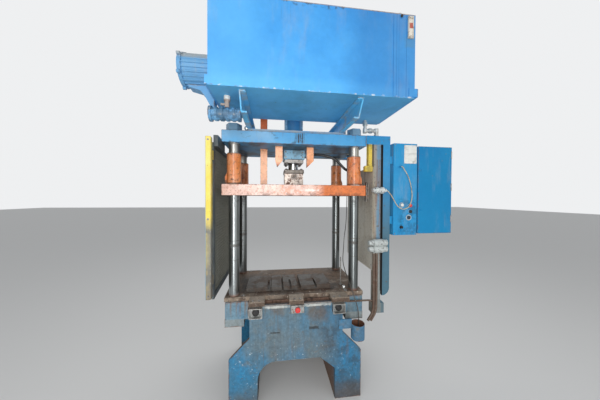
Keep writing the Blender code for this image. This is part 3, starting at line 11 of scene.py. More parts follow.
import bmesh
import bpy
from mathutils import Matrix, Vector

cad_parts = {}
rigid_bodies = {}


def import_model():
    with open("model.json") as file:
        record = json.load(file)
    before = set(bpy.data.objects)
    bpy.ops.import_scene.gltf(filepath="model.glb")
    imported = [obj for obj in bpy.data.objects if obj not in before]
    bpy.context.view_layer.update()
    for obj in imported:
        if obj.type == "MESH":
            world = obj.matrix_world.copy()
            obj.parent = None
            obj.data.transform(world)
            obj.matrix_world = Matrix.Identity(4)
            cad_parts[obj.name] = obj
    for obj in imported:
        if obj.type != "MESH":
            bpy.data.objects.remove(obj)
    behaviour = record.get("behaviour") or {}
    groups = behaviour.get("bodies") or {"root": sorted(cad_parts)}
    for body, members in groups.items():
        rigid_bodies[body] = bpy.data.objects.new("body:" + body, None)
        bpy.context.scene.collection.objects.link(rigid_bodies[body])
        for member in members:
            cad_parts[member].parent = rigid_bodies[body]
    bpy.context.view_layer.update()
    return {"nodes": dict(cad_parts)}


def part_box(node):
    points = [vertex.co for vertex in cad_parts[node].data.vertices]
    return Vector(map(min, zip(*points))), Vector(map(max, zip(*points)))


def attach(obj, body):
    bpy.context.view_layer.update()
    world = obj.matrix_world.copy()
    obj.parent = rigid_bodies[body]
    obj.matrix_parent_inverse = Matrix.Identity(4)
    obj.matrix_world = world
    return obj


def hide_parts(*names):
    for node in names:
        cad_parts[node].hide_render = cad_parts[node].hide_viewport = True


for leftover in list(bpy.data.objects):
    bpy.data.objects.remove(leftover)
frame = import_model()
nodes = frame["nodes"]

# %% [markdown]
# ## Camera
# Drawings of a press measure from the middle between its columns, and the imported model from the
# middle of its box. One offset turns the first into the second. The camera stands close, at eye
# height, with a wide lens, a little left of the machine and turned to the right.

# %% Place the camera
MIDDLE = Vector((-0.2582, 0.17765, 0))


def at(x, y, z):
    """A point measured from the middle of the columns, in the model's own coordinates."""
    return Vector((x, y, z)) + MIDDLE


def put_in_scene(name, data):
    """A new object in the scene that holds the data."""
    made = bpy.data.objects.new(name, data)
    bpy.context.scene.collection.objects.link(made)
    return made


EYE = at(-0.1785, -1.8909, 1.5)
LENS_PIXELS = 212.97
IMAGE_WIDTH = 600
SENSOR_WIDTH = 36
YAW, PITCH, ROLL = 7.26, -0.749, 0.246
camera = put_in_scene("camera", bpy.data.cameras.new("camera"))
camera.data.sensor_width = SENSOR_WIDTH
camera.data.lens = SENSOR_WIDTH * LENS_PIXELS / IMAGE_WIDTH
camera.data.clip_start = 0.05
yaw, pitch, roll = (math.radians(angle) for angle in (YAW, PITCH, ROLL))
forward = Vector((math.sin(yaw) * math.cos(pitch), math.cos(yaw) * math.cos(pitch), math.sin(pitch)))
across = forward.cross(Vector((0, 0, 1))).normalized()
upward = across.cross(forward)
right = across * math.cos(roll) + upward * math.sin(roll)
upward = right.cross(forward)
camera.matrix_world = Matrix.Translation(EYE) @ Matrix((right, upward, -forward)).transposed().to_4x4()
bpy.context.scene.camera = camera
print("camera at", tuple(round(value, 3) for value in EYE), "lens", round(camera.data.lens, 2), "mm")

# %% [markdown]
# ## Hoses and the cable
# A short pressure hose leaves the crown's end and loops up to its underside, a thin plastic oil line
# runs from behind the crown down into the drip cup, and a light lead sags from a conduit fitting to
# the control box. Each is one smooth curve through the points of its route, because a bent tube is
# what they really are. Both ends of all three go into the machine.

# %% Draw the hoses and the cable
def smooth_path(route, spacing):
    """Points along a smooth curve through the route's points."""
    knots = [2 * route[0] - route[1], *route, 2 * route[-1] - route[-2]]
    points = []
    for before, start, end, after in zip(knots, knots[1:], knots[2:], knots[3:]):
        count = max(1, round((end - start).length / spacing))
        for step in range(count):
            t = step / count
            points.append((2 * start + (end - before) * t
                           + (2 * before - 5 * start + 4 * end - after) * t ** 2
                           + (3 * start - before - 3 * end + after) * t ** 3) / 2)
    return points + [route[-1]]


def tube(name, points, diameter, resolution=4):
    """A round tube along the points, as a curve of one open spline."""
    curve = bpy.data.curves.new(name, "CURVE")
    curve.dimensions = "3D"
    curve.bevel_depth = 1.0
    curve.bevel_resolution = resolution
    curve.use_fill_caps = True
    spline = curve.splines.new("POLY")
    spline.points.add(len(points) - 1)
    for point, place in zip(spline.points, points):
        point.co = (*place, 1)
        point.radius = diameter / 2
    return put_in_scene(name, curve)


HOSE_ROUTE = ((0.1235, -0.062, 1.866), (0.150, -0.062, 1.866), (0.205, -0.088, 1.867), (0.303, -0.120, 1.843),
              (0.353, -0.130, 1.816), (0.426, -0.140, 1.742), (0.470, -0.110, 1.735), (0.503, -0.050, 1.765),
              (0.508, 0, 1.820), (0.508, 0, 1.850))
LINE_ROUTE = ((0.610, 0.320, 1.8997), (0.612, 0.320, 1.700), (0.610, 0.320, 1.397), (0.601, 0.318, 1.204),
              (0.579, 0.300, 1.086), (0.501, 0.100, 0.985), (0.431, -0.100, 0.936), (0.412, -0.250, 0.872),
              (0.428, -0.330, 0.780), (0.455, -0.360, 0.680), (0.462, -0.375, 0.600), (0.460, -0.375, 0.520))
CABLE_ROUTE = ((0.7003, -0.322, 1.556), (0.708, -0.322, 1.556), (0.722, -0.327, 1.541), (0.740, -0.334, 1.513),
               (0.776, -0.336, 1.452), (0.800, -0.338, 1.424), (0.829, -0.339, 1.411), (0.861, -0.339, 1.415),
               (0.886, -0.338, 1.434), (0.906, -0.337, 1.482), (0.909, -0.337, 1.537), (0.893, -0.338, 1.616),
               (0.867, -0.340, 1.678), (0.838, -0.341, 1.722), (0.827, -0.338, 1.741), (0.826, -0.334, 1.744),
               (0.826, -0.3273, 1.744))
POINTS_APART = 1.5
cords = {}
for name, node, route, diameter, stiffness, lay in (
        ("hydraulic_hose", "pressure_hose", HOSE_ROUTE, 0.022, "stiff", "hanging"),
        ("oil_line", "lube_line", LINE_ROUTE, 0.007, "medium", "loose"),
        ("sagging_lead", "control_cable", CABLE_ROUTE, 0.006, "medium", "hanging")):
    points = smooth_path([at(*place) for place in route], diameter * POINTS_APART)
    cords[name] = tube(name, points, diameter)
    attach(cords[name], "frame")
    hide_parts(node)

# %% [markdown]
# ## Floor and light
# The floor is a plain pale sheet. The sky is white where the camera or a mirror looks at it and dimmer
# as a lamp, so that a bright background doesn't wash out the paint. A lamp beside the camera works as
# the photographer's flash, which also reaches up under the crown and the tank. It is tall, so that the
# chromed columns show one long streak of light down to the bed. Two large weak lamps in front and one
# above give round forms a light side and a dark side.

# %% Helpers for node trees
def set_socket(tree, socket, value):
    """Wire a socket to another node's output, or set it to a plain value."""
    if isinstance(value, bpy.types.NodeSocket):
        tree.links.new(value, socket)
    else:
        socket.default_value = value


def add(tree, kind, sockets=None, **settings):
    """One node, with its sockets set to values or wired to other nodes."""
    made = tree.nodes.new(kind)
    for name, value in settings.items():
        setattr(made, name, value)
    for key, value in (sockets or {}).items():
        set_socket(tree, made.inputs[key], value)
    return made


def math_node(tree, operation, first, second=0.0):
    """What a Math node makes of two values."""
    return add(tree, "ShaderNodeMath", {0: first, 1: second}, operation=operation).outputs[0]


# %% Lay the floor and hang the lamps
FLOOR_HALF = 30
FLOOR_COLOUR, FLOOR_ROUGHNESS = (0.62, 0.62, 0.61, 1), 0.9
SKY_LIGHT, SKY_STRENGTH = (0.95, 0.97, 1, 1), 0.55
BACKDROP = (0.86, 0.87, 0.88, 1)
TALL_FLASH = 2.5
shape = bmesh.new()
bmesh.ops.create_grid(shape, x_segments=1, y_segments=1, size=FLOOR_HALF)
sheet = bpy.data.meshes.new("floor")
shape.to_mesh(sheet)
shape.free()
floor = put_in_scene("floor", sheet)
floor.location.z = -0.0005
pale = bpy.data.materials.new("pale floor")
pale.use_nodes = True
floor_shader = pale.node_tree.nodes["Principled BSDF"].inputs
floor_shader["Base Color"].default_value = FLOOR_COLOUR
floor_shader["Roughness"].default_value = FLOOR_ROUGHNESS
floor.data.materials.append(pale)

world = bpy.data.worlds.new("studio")
bpy.context.scene.world = world
world.use_nodes = True
sky = world.node_tree
sky.nodes.clear()
rays = add(sky, "ShaderNodeLightPath").outputs
looked_at = math_node(sky, "MAXIMUM", rays["Is Camera Ray"], rays["Is Transmission Ray"])
looked_at = math_node(sky, "MAXIMUM", looked_at, rays["Is Glossy Ray"])
lamp = add(sky, "ShaderNodeBackground", {"Color": SKY_LIGHT, "Strength": SKY_STRENGTH})
backdrop = add(sky, "ShaderNodeBackground", {"Color": BACKDROP, "Strength": 1})
mixed = add(sky, "ShaderNodeMixShader", {0: looked_at, 1: lamp.outputs[0], 2: backdrop.outputs[0]})
add(sky, "ShaderNodeOutputWorld", {"Surface": mixed.outputs[0]})

for name, place, target, size, watts in (
        ("flash", (-0.5, -2.7, 1.35), (-0.2, 0, 1.35), 0.6, 50),
        ("key", (-2.4, -3.6, 3.4), (-0.2, 0, 1.4), 2.2, 24),
        ("fill", (3.0, -3.2, 1.6), (-0.2, 0, 1.3), 2.6, 18),
        ("top", (0.2, 1.6, 4.6), (-0.2, 0, 1.6), 2.4, 45)):
    light = bpy.data.lights.new(name, "AREA")
    light.size = size
    if name == "flash":
        light.shape, light.size_y = "RECTANGLE", TALL_FLASH
    light.energy = watts
    source = put_in_scene(name, light)
    source.location = place
    source.rotation_euler = (Vector(target) - Vector(place)).to_track_quat("-Z", "Y").to_euler()
bpy.context.scene.view_settings.view_transform = "Standard"
print("floor, sky and four lamps")

# %% [markdown]
# ## Effects that the finishes share
# An old press wears in a few ways: paint rubs off along edges, dust and oil settle in blotches, rust
# runs down from joints, and single places are rubbed, taped or flaked. Each effect is one node group
# that puts out a mask, so that every finish can use it with its own values. The masks read Object
# coordinates, which are metres on every piece here.

# %% Helpers for masks
NUMBER, VECTOR = "NodeSocketFloat", "NodeSocketVector"


def new_group(name, inputs, output, kind="ShaderNodeTree"):
    """An empty group with named inputs and one output, ready to be wired."""
    tree = bpy.data.node_groups.new(name, kind)
    for title, socket_type, value in inputs:
        socket = tree.interface.new_socket(title, in_out="INPUT", socket_type=socket_type)
        if value is not None:
            socket.default_value = value
    title, socket_type = output
    tree.interface.new_socket(title, in_out="OUTPUT", socket_type=socket_type)
    return tree, tree.nodes.new("NodeGroupInput").outputs, tree.nodes.new("NodeGroupOutput").inputs[title]


def mask_group(name, inputs):
    """A group that puts out a mask, with the place on the piece that it reads."""
    tree, given, mask = new_group(name, inputs, ("Mask", NUMBER))
    return tree, given, add(tree, "ShaderNodeTexCoord").outputs["Object"], mask


def vector_node(tree, operation, first, second=None):
    """What a Vector Math node makes of one or two vectors."""
    sockets = {0: first} if second is None else {0: first, 1: second}
    return add(tree, "ShaderNodeVectorMath", sockets, operation=operation).outputs[0]


def parts_of(tree, vector):
    """The three coordinates of a vector."""
    return add(tree, "ShaderNodeSeparateXYZ", {0: vector}).outputs


def ramp(tree, value, low, high, **settings):
    """Turn a value between two limits into a share from 0 to 1."""
    return add(tree, "ShaderNodeMapRange", {"Value": value, "From Min": low, "From Max": high}, **settings).outputs[0]


def noise_at(tree, vector, scale, detail=5.0, rough=0.6):
    """Cloudy noise from 0 to 1."""
    return add(tree, "ShaderNodeTexNoise", {
        "Vector": vector, "Scale": scale, "Detail": detail, "Roughness": rough}).outputs[0]


def pulled_noise(tree, place, stretch, given, detail, rough=0.6):
    """Noise that is drawn out along the axes and moved on by the seed."""
    pulled = vector_node(tree, "MULTIPLY", place, stretch)
    return noise_at(tree, vector_node(tree, "ADD", pulled, given["Seed"]), given["Scale"], detail, rough)


# %% Worn edges
SPECKLE_MIDDLE, SPECKLE_GAIN, THINNEST_WEAR = 0.45, 5.0, 0.0004
worn_edges, given, place, mask = mask_group("worn edges", [
    ("Centre", VECTOR, None), ("Half Size", VECTOR, None), ("Width", NUMBER, 0.008), ("Breakup", NUMBER, 40.0),
    ("Amount", NUMBER, 1.0)])
from_middle = vector_node(worn_edges, "SUBTRACT", place, given["Centre"])
unsigned = vector_node(worn_edges, "ABSOLUTE", from_middle)
x, y, z = parts_of(worn_edges, vector_node(worn_edges, "SUBTRACT", given["Half Size"], unsigned))
middle_depth = math_node(worn_edges, "MAXIMUM", math_node(worn_edges, "MINIMUM", x, y),
                         math_node(worn_edges, "MINIMUM", math_node(worn_edges, "MAXIMUM", x, y), z))
speckle = math_node(worn_edges, "SUBTRACT", noise_at(worn_edges, place, given["Breakup"]), SPECKLE_MIDDLE)
ragged = math_node(worn_edges, "MULTIPLY_ADD", speckle, SPECKLE_GAIN)
reach = math_node(worn_edges, "MULTIPLY", given["Width"], ragged)
worn = math_node(worn_edges, "MULTIPLY", ramp(worn_edges, middle_depth, reach, 0.0),
                 math_node(worn_edges, "GREATER_THAN", reach, THINNEST_WEAR))
set_socket(worn_edges, mask, math_node(worn_edges, "MULTIPLY", worn, given["Amount"]))
print("worn edges:", len(worn_edges.nodes), "nodes")

# %% Blotches, scratches and grain
blotches, given, place, mask = mask_group("blotches", [
    ("Scale", NUMBER, 8.0), ("Stretch", VECTOR, (1, 1, 1)), ("Seed", NUMBER, 0.0), ("Cover", NUMBER, 0.4),
    ("Softness", NUMBER, 0.1), ("Amount", NUMBER, 1.0)])
cloud = pulled_noise(blotches, place, given["Stretch"], given, 6.0, 0.62)
edge = math_node(blotches, "SUBTRACT", 1.0, given["Cover"])
cut = ramp(blotches, cloud, math_node(blotches, "SUBTRACT", edge, given["Softness"]),
           math_node(blotches, "ADD", edge, given["Softness"]), interpolation_type="SMOOTHSTEP")
set_socket(blotches, mask, math_node(blotches, "MULTIPLY", cut, given["Amount"]))
print("blotches:", len(blotches.nodes), "nodes")

# %% Runs that start at a height and fade as they fall
DRAWN_DOWN, RUN_EDGE, RUN_START = (1, 1, 0.06), 0.15, -0.02
runs, given, place, mask = mask_group("runs", [
    ("Scale", NUMBER, 30.0), ("Top", NUMBER, 1.0), ("Length", NUMBER, 0.2), ("Seed", NUMBER, 0.0),
    ("Cover", NUMBER, 0.45), ("Amount", NUMBER, 1.0)])
streaks = pulled_noise(runs, place, DRAWN_DOWN, given, 3.0)
edge = math_node(runs, "SUBTRACT", 1.0, given["Cover"])
cut = ramp(runs, streaks, edge, math_node(runs, "ADD", edge, RUN_EDGE))
fallen = math_node(runs, "SUBTRACT", given["Top"], parts_of(runs, place)[2])
fallen = math_node(runs, "DIVIDE", fallen, given["Length"])
below = math_node(runs, "GREATER_THAN", fallen, RUN_START)
faded = math_node(runs, "MULTIPLY", ramp(runs, fallen, 1.0, 0.0), below)
faded = math_node(runs, "MULTIPLY", faded, given["Amount"])
set_socket(runs, mask, math_node(runs, "MULTIPLY", cut, faded))
print("runs:", len(runs.nodes), "nodes")

# %% One ragged place
one_place, given, place, mask = mask_group("one place", [
    ("Low", VECTOR, None), ("High", VECTOR, None), ("Softness", NUMBER, 0.004), ("Ragged", NUMBER, 0.0),
    ("Scale", NUMBER, 60.0), ("Amount", NUMBER, 1.0)])
low_side = vector_node(one_place, "SUBTRACT", given["Low"], place)
high_side = vector_node(one_place, "SUBTRACT", place, given["High"])
x, y, z = parts_of(one_place, vector_node(one_place, "MAXIMUM", low_side, high_side))
farthest = math_node(one_place, "MAXIMUM", math_node(one_place, "MAXIMUM", x, y), z)
shake = math_node(one_place, "SUBTRACT", noise_at(one_place, place, given["Scale"]), 0.5)
shake = math_node(one_place, "MULTIPLY", shake, given["Ragged"])
cut = ramp(one_place, math_node(one_place, "ADD", farthest, shake), given["Softness"],
           math_node(one_place, "MULTIPLY", given["Softness"], -1.0))
set_socket(one_place, mask, math_node(one_place, "MULTIPLY", cut, given["Amount"]))
print("one place:", len(one_place.nodes), "nodes")

# %% Inside a round wall
round_place, given, place, mask = mask_group("round place", [
    ("Centre", VECTOR, None), ("Radius", NUMBER, 0.05), ("Low", NUMBER, 0.0), ("High", NUMBER, 1.0)])
flat = vector_node(round_place, "MULTIPLY", vector_node(round_place, "SUBTRACT", place, given["Centre"]), (1, 1, 0))
reach = add(round_place, "ShaderNodeVectorMath", {0: flat}, operation="LENGTH").outputs["Value"]
height = parts_of(round_place, place)[2]
inside = math_node(round_place, "LESS_THAN", reach, given["Radius"])
between = math_node(round_place, "MULTIPLY", math_node(round_place, "GREATER_THAN", height, given["Low"]),
                    math_node(round_place, "LESS_THAN", height, given["High"]))
set_socket(round_place, mask, math_node(round_place, "MULTIPLY", inside, between))
print("round place:", len(round_place.nodes), "nodes")

# %% [markdown]
# ## How a finish is built
# A finish is a ground coat with layers over it, as the real surface was made: primer and paint first,
# then fading, dust, oil and rust, then bare metal where it rubs. Each layer is a colour with its own
# gloss that shows where its masks say. A fine noise gives the sprayed or rolled skin its bump.

# %% Layers, one on another
def seen(red, green, blue):
    """A colour as it looks on a screen, from 0 to 255, in the linear values that a shader wants."""
    def linear(value):
        share = value / 255
        return share / 12.92 if share <= 0.04045 else ((share + 0.055) / 1.055) ** 2.4
    return linear(red), linear(green), linear(blue), 1


def masks_of(tree, masks):
    """The masks of one layer, multiplied together."""
    mask = None
    for group, values in masks:
        made = add(tree, "ShaderNodeGroup", node_tree=group)
        for key, value in values.items():
            made.inputs[key].default_value = value
        mask = made.outputs[0] if mask is None else math_node(tree, "MULTIPLY", mask, made.outputs[0])
    return mask


def finish_of(name, ground, gloss, layers, metal=0.0, skin=(260.0, 0.00025), coat=0.0, mottle=(30.0, 0.10)):
    """A material: a ground colour and roughness, then layers of (masks, colour, roughness).

    A layer of bare metal has a fourth value, which says how metallic it is.
    """
    material = bpy.data.materials.new(name)
    material.use_nodes = True
    tree = material.node_tree
    shader = tree.nodes["Principled BSDF"]
    colour, rough, metallic = seen(*ground), gloss, metal
    shines = [layer[3] if len(layer) > 3 else 0 for layer in layers]
    metal_varies = any(shine != metal for shine in shines)
    for (masks, paint, roughness, *_), shine in zip(layers, shines):
        mask = masks_of(tree, masks)
        colour = add(tree, "ShaderNodeMix", {"Factor": mask, 6: colour, 7: seen(*paint)}, data_type="RGBA").outputs[2]
        rough = add(tree, "ShaderNodeMix", {"Factor": mask, 2: rough, 3: roughness}).outputs[0]
        if metal_varies:
            metallic = add(tree, "ShaderNodeMix", {"Factor": mask, 2: metallic, 3: shine}).outputs[0]
    place = add(tree, "ShaderNodeTexCoord").outputs["Object"]
    tone = add(tree, "ShaderNodeMapRange", {
        "Value": noise_at(tree, place, mottle[0], 8.0, 0.72), "From Min": 0.32, "From Max": 0.68,
        "To Min": 1 - mottle[1], "To Max": 1 + mottle[1] / 2})
    colour = add(tree, "ShaderNodeMix", {"Factor": 1.0, 6: colour, 7: tone.outputs[0]}, data_type="RGBA",
                 blend_type="MULTIPLY").outputs[2]
    for key, value in (("Base Color", colour), ("Roughness", rough), ("Metallic", metallic), ("Coat Weight", coat)):
        set_socket(tree, shader.inputs[key], value)
    grain = add(tree, "ShaderNodeTexNoise", {"Vector": place, "Scale": skin[0], "Detail": 3.0})
    bump = add(tree, "ShaderNodeBump", {"Height": grain.outputs[0], "Strength": 1.0, "Distance": skin[1]})
    tree.links.new(bump.outputs[0], shader.inputs["Normal"])
    return material


# %% Masks for a layer, and the colours that come back
def dress(names, material):
    """Give the finish to solids by name."""
    for name in names:
        nodes[name].data.materials.clear()
        nodes[name].data.materials.append(material)
        nodes[name].material_slots[0].material = material


def edges_of(box, width=0.008, breakup=45.0, amount=1.0):
    """The worn edges mask for a box, given as its two corners."""
    low, high = (Vector(corner) for corner in box)
    return worn_edges, {"Centre": (low + high) / 2, "Half Size": (high - low) / 2, "Width": width,
                        "Breakup": breakup, "Amount": amount}


def blotch(scale, cover, softness=0.08, amount=1.0, stretch=(1, 1, 1), seed=0.0):
    """Stains all over: a larger scale makes them smaller, and more cover leaves less between them."""
    return blotches, {"Scale": scale, "Cover": cover, "Softness": softness, "Amount": amount,
                      "Stretch": stretch, "Seed": seed}


def run(top, length, scale=30.0, cover=0.45, amount=1.0, seed=0.0):
    """Streaks that start at a height and fade over a length below it."""
    return runs, {"Top": top, "Length": length, "Scale": scale, "Cover": cover, "Amount": amount, "Seed": seed}


def spot(low, high, softness=0.004, ragged=0.0, scale=60.0, amount=1.0):
    """One place between two corners, with an edge that is soft or ragged."""
    return one_place, {"Low": at(*low), "High": at(*high), "Softness": softness, "Ragged": ragged,
                       "Scale": scale, "Amount": amount}


def face_between(front, back):
    """A helper for places on one face, which takes their corners without the depth."""
    def place_on(low, high, *values):
        return spot((low[0], front, low[1]), (high[0], back, high[1]), *values)
    return place_on


SKY = (46, 142, 214)
SKY_PALE = (98, 184, 240)
SKY_DEEP = (24, 104, 168)
ORANGE = (208, 102, 38)
ORANGE_PALE = (230, 150, 96)
YELLOW = (232, 206, 84)
RUST = (116, 74, 50)
RUST_DARK = (70, 48, 38)
BARE = (168, 164, 158)
SOOT = (38, 38, 38)
DUST = (176, 170, 158)
OIL = (46, 40, 34)
WHITE = (226, 224, 216)
print("tank blue in linear values:", tuple(round(value, 3) for value in seen(*SKY)))

# %% [markdown]
# ## Tank, crown and their fittings
# The tank is sheet steel, sprayed bright blue. It was washed less often towards the top, so dust runs
# down from the lid, and the paint is thin along the folded edges. Its left part is painted paler as a
# painted highlight, its right part darker as painted shade, and its underside paler as painted light
# from below. Broad soft blotches give the fading, and stretched ones the smears.

# %% Blue sprayed paint
def sprayed(name, box, seed, ground=SKY, fading=0.5, wear=0.8, extra=(), pale=SKY_PALE):
    """Blue paint on a piece that fills the box."""
    layers = [
        ([blotch(1.6, 0.48, 0.22, fading, seed=seed)], pale, 0.34),
        ([blotch(3.2, 0.38, 0.20, 0.35, seed=seed + 7)], SKY_DEEP, 0.42),
        ([blotch(130, 0.30, 0.03, 0.30, seed=seed + 1)], pale, 0.5),
        ([blotch(9, 0.36, 0.14, 0.30, stretch=(1, 1, 0.25), seed=seed + 3)], DUST, 0.60),
        ([blotch(70, 0.24, 0.03, 0.45, stretch=(0.12, 1, 1), seed=seed + 11)], SKY_DEEP, 0.45),
        ([blotch(55, 0.30, 0.02, 0.55, seed=seed + 5), blotch(5, 0.42, 0.1, seed=seed)], SOOT, 0.55),
        *extra,
        ([edges_of(box, 0.006, 38, wear)], RUST, 0.62),
        ([edges_of(box, 0.0025, 70, wear)], BARE, 0.42, 0.6)]
    return finish_of(name, ground, 0.40, layers, mottle=(36.0, 0.05))


# %% Tank, lid, crown and channels
tank_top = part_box("tank_shell")[1].z
on_tank_end, on_front = face_between(-0.70, -0.10), face_between(-0.30, -0.28)
UNDERSIDE = (-0.56, -0.68, 2.00), (0.72, -0.19, 2.1125)
dress(["tank_shell"], sprayed("sprayed tank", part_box("tank_shell"), 1.0, fading=0.55, extra=[
    # The left end and left of the front are painted paler: a painted highlight of the flash's glare.
    ([spot((-0.60, -0.70, 2.08), (-0.30, -0.60, 2.66), 0.16, 0.10, 4, 0.45)], SKY_PALE, 0.32),
    ([spot((-0.60, -0.685, 2.105), (0.75, -0.66, 2.165), 0.030, 0.02, 12, 0.5)], SKY_PALE, 0.38),
    # The right part of the front is painted darker: painted shade where the flash's light falls off.
    ([spot((0.34, -0.69, 2.00), (0.75, -0.66, 2.70), 0.130, 0.05, 6, 0.85)], SKY_DEEP, 0.38),
    ([spot((-0.12, -0.69, 2.600), (0.26, -0.66, 2.640), 0.012, 0.05, 26, 0.8), blotch(30, 0.44, 0.04, seed=2)],
     SOOT, 0.6),
    ([run(tank_top, 0.26, 26, 0.42, 0.08, 2)], DUST, 0.60),
    ([run(tank_top, 0.14, 60, 0.36, 0.60, 5), blotch(4, 0.45, 0.1)], OIL, 0.50),
    ([on_tank_end((0.6262, 2.00), (0.6290, 2.70), 0.0012)], SKY_DEEP, 0.60),
    ([on_tank_end((0.5612, 2.00), (0.5632, 2.70), 0.0010, 0.001, 40)], SKY_DEEP, 0.60),
    ([on_tank_end((0.5760, 2.00), (0.5776, 2.70), 0.0010, 0.001, 40, 0.7)], SKY_DEEP, 0.60),
    # The underside and the bottom strip of the rim are painted paler: painted light where the flash reaches up under
    # the tank.
    ([spot((-0.56, -0.677, 2.00), (0.72, -0.19, 2.1125), 0.001, 0, 20, 0.8)], (92, 178, 226), 0.5),
    ([spot(*UNDERSIDE, 0.002), blotch(5, 0.45, 0.15, 0.45, seed=4)], (66, 124, 164), 0.55),
    ([spot(*UNDERSIDE, 0.002), blotch(40, 0.30, 0.03, 0.55, seed=4)], (96, 84, 72), 0.66),
    ([spot((-0.56, -0.685, 2.106), (0.72, -0.67, 2.118), 0.003, 0.014, 60, 0.8), blotch(34, 0.42, 0.04, seed=9)],
     WHITE, 0.5),
    ([spot((0.625, -0.69, 2.425), (0.675, -0.67, 2.470), 0.014, 0.020, 30, 0.5)], (96, 128, 132), 0.6)]))
dress(["tank_lid"], sprayed("dusty lid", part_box("tank_lid"), 2.0, ground=SKY_DEEP, extra=[
    ([blotch(6, 0.62, 0.2, 0.8, seed=8)], DUST, 0.8), ([blotch(20, 0.36, 0.05, 0.8, seed=3)], RUST, 0.7)]))
crown_box = at(-0.549, -0.289, 1.900), at(0.549, 0.289, 1.988)
CROWN_BOTTOM = (-0.56, -0.30, 1.88), (0.56, 0.30, 1.9015)
dress(["crown_plate"], sprayed("sprayed crown", crown_box, 3.0, ground=(70, 154, 202), fading=0.75, extra=[
    # The upper left of the crown's front is painted paler: a painted highlight of the flash's glare.
    ([on_front((-0.60, 1.94), (-0.20, 2.00), 0.05, 0.08, 12, 0.55)], (168, 196, 214), 0.42),
    ([blotch(26, 0.36, 0.04, 0.55, stretch=(0.5, 1, 1), seed=15)], SOOT, 0.55),
    ([on_front((-0.010, 1.912), (0.066, 1.982), 0.010, 0.05, 60),
      blotch(120, 0.455, 0.02, 0.95, stretch=(1, 1, 0.015), seed=3)], SOOT, 0.45),
    # The crown's underside is painted a darker blue: painted shade under the crown.
    ([spot(*CROWN_BOTTOM, 0.001, 0, 20, 0.4)], (52, 104, 146), 0.55),
    ([spot(*CROWN_BOTTOM, 0.001), blotch(7, 0.5, 0.1, 0.8, seed=6)], OIL, 0.42),
    ([spot((-0.60, -0.30, 1.985), (0.60, 0.30, 2.10), 0.002), blotch(8, 0.55, 0.15, 0.75, seed=2)], DUST, 0.8),
    # The right part of the crown's front is painted darker: painted shade where the flash's light falls off.
    ([on_front((0.10, 1.88), (0.60, 2.00), 0.10, 0.06, 8, 0.45)], (44, 124, 172), 0.45),
    ([run(1.988, 0.05, 70, 0.40, 0.6, 9)], RUST, 0.6)]))
for side in ("left", "right"):
    channel = f"tank_channel_{side}"
    dress([channel], sprayed(f"sprayed channel {side}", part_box(channel), 4.0, ground=(94, 186, 230), extra=[
        ([blotch(9, 0.42, 0.1, 0.6, seed=3)], DUST, 0.7)]))
print("tank, lid, crown and channels")

# %% [markdown]
# ## Motor, filter and gauge
# The motor's upper half is grey with years of settled dust, which a mask by height gives. The filter is
# a small ribbed casting in the same blue, oily on its underside, and the pipe between it and the tank
# is worn to a pinkish primer. The gauge has an off-white frame, gone brown in its corners.

# %% Finishes of the motor and its neighbours
for name, seed in (("motor_body", 5.0), ("motor_end_bell", 6.0), ("motor_bracket", 7.0), ("filter_housing", 8.0)):
    if name == "filter_housing":
        surface_layers = [([blotch(18, 0.5, 0.08, 0.7, seed=2)], (44, 66, 84), 0.5),
                ([blotch(30, 0.36, 0.04, 0.7, seed=9)], (150, 150, 146), 0.6)]
    else:
        surface_layers = [([spot((-0.80, -0.60, 2.352), (-0.50, -0.20, 2.46), 0.012, 0.02, 30, 0.92)], (158, 164, 164), 0.8),
                ([run(2.36, 0.16, 60, 0.45, 0.5, seed)], DUST, 0.7)]
    dress([name], sprayed(f"sprayed {name}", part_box(name), seed, ground=(92, 156, 204), fading=0.4,
                          extra=surface_layers, pale=(146, 190, 214)))
pipe_layers = [([blotch(24, 0.45, 0.06, 0.8, seed=1)], (186, 160, 146), 0.6),
               ([blotch(60, 0.36, 0.03, 0.8, seed=4)], RUST, 0.7),
               ([spot((-0.50, -0.60, 2.088), (-0.42, -0.50, 2.12), 0.003, 0.006)], WHITE, 0.5)]
dress(["suction_pipe"], finish_of("primed pipe", (166, 152, 142), 0.55, pipe_layers))
dress(["level_gauge"], finish_of("gauge frame", (204, 198, 186), 0.45, [
    ([blotch(60, 0.44, 0.05, 0.8)], (112, 96, 78), 0.6, 0.3),
    ([edges_of(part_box("level_gauge"), 0.003, 90)], (222, 216, 204), 0.35, 0.3)], metal=0.2))
print("motor, filter, pipe and gauge")

# %% [markdown]
# ## Columns, rod and the other machined steel
# The columns are hard chrome, so they mirror the room. Fine vertical scratches and a few rings of
# scuffs make the mirror believable, and old oil gathers where the sleeves stop. The cylinder's head and
# cap are sprayed pale blue, the cam plate is plain steel gone dark with oil, and the coupling is cleaner
# and spotted with rust.

# %% Chrome on the columns and the rod
def band(low, high, *values):
    """A place that goes right round a piece, between two heights."""
    return spot((-1, -1, low), (1, 1, high), *values)


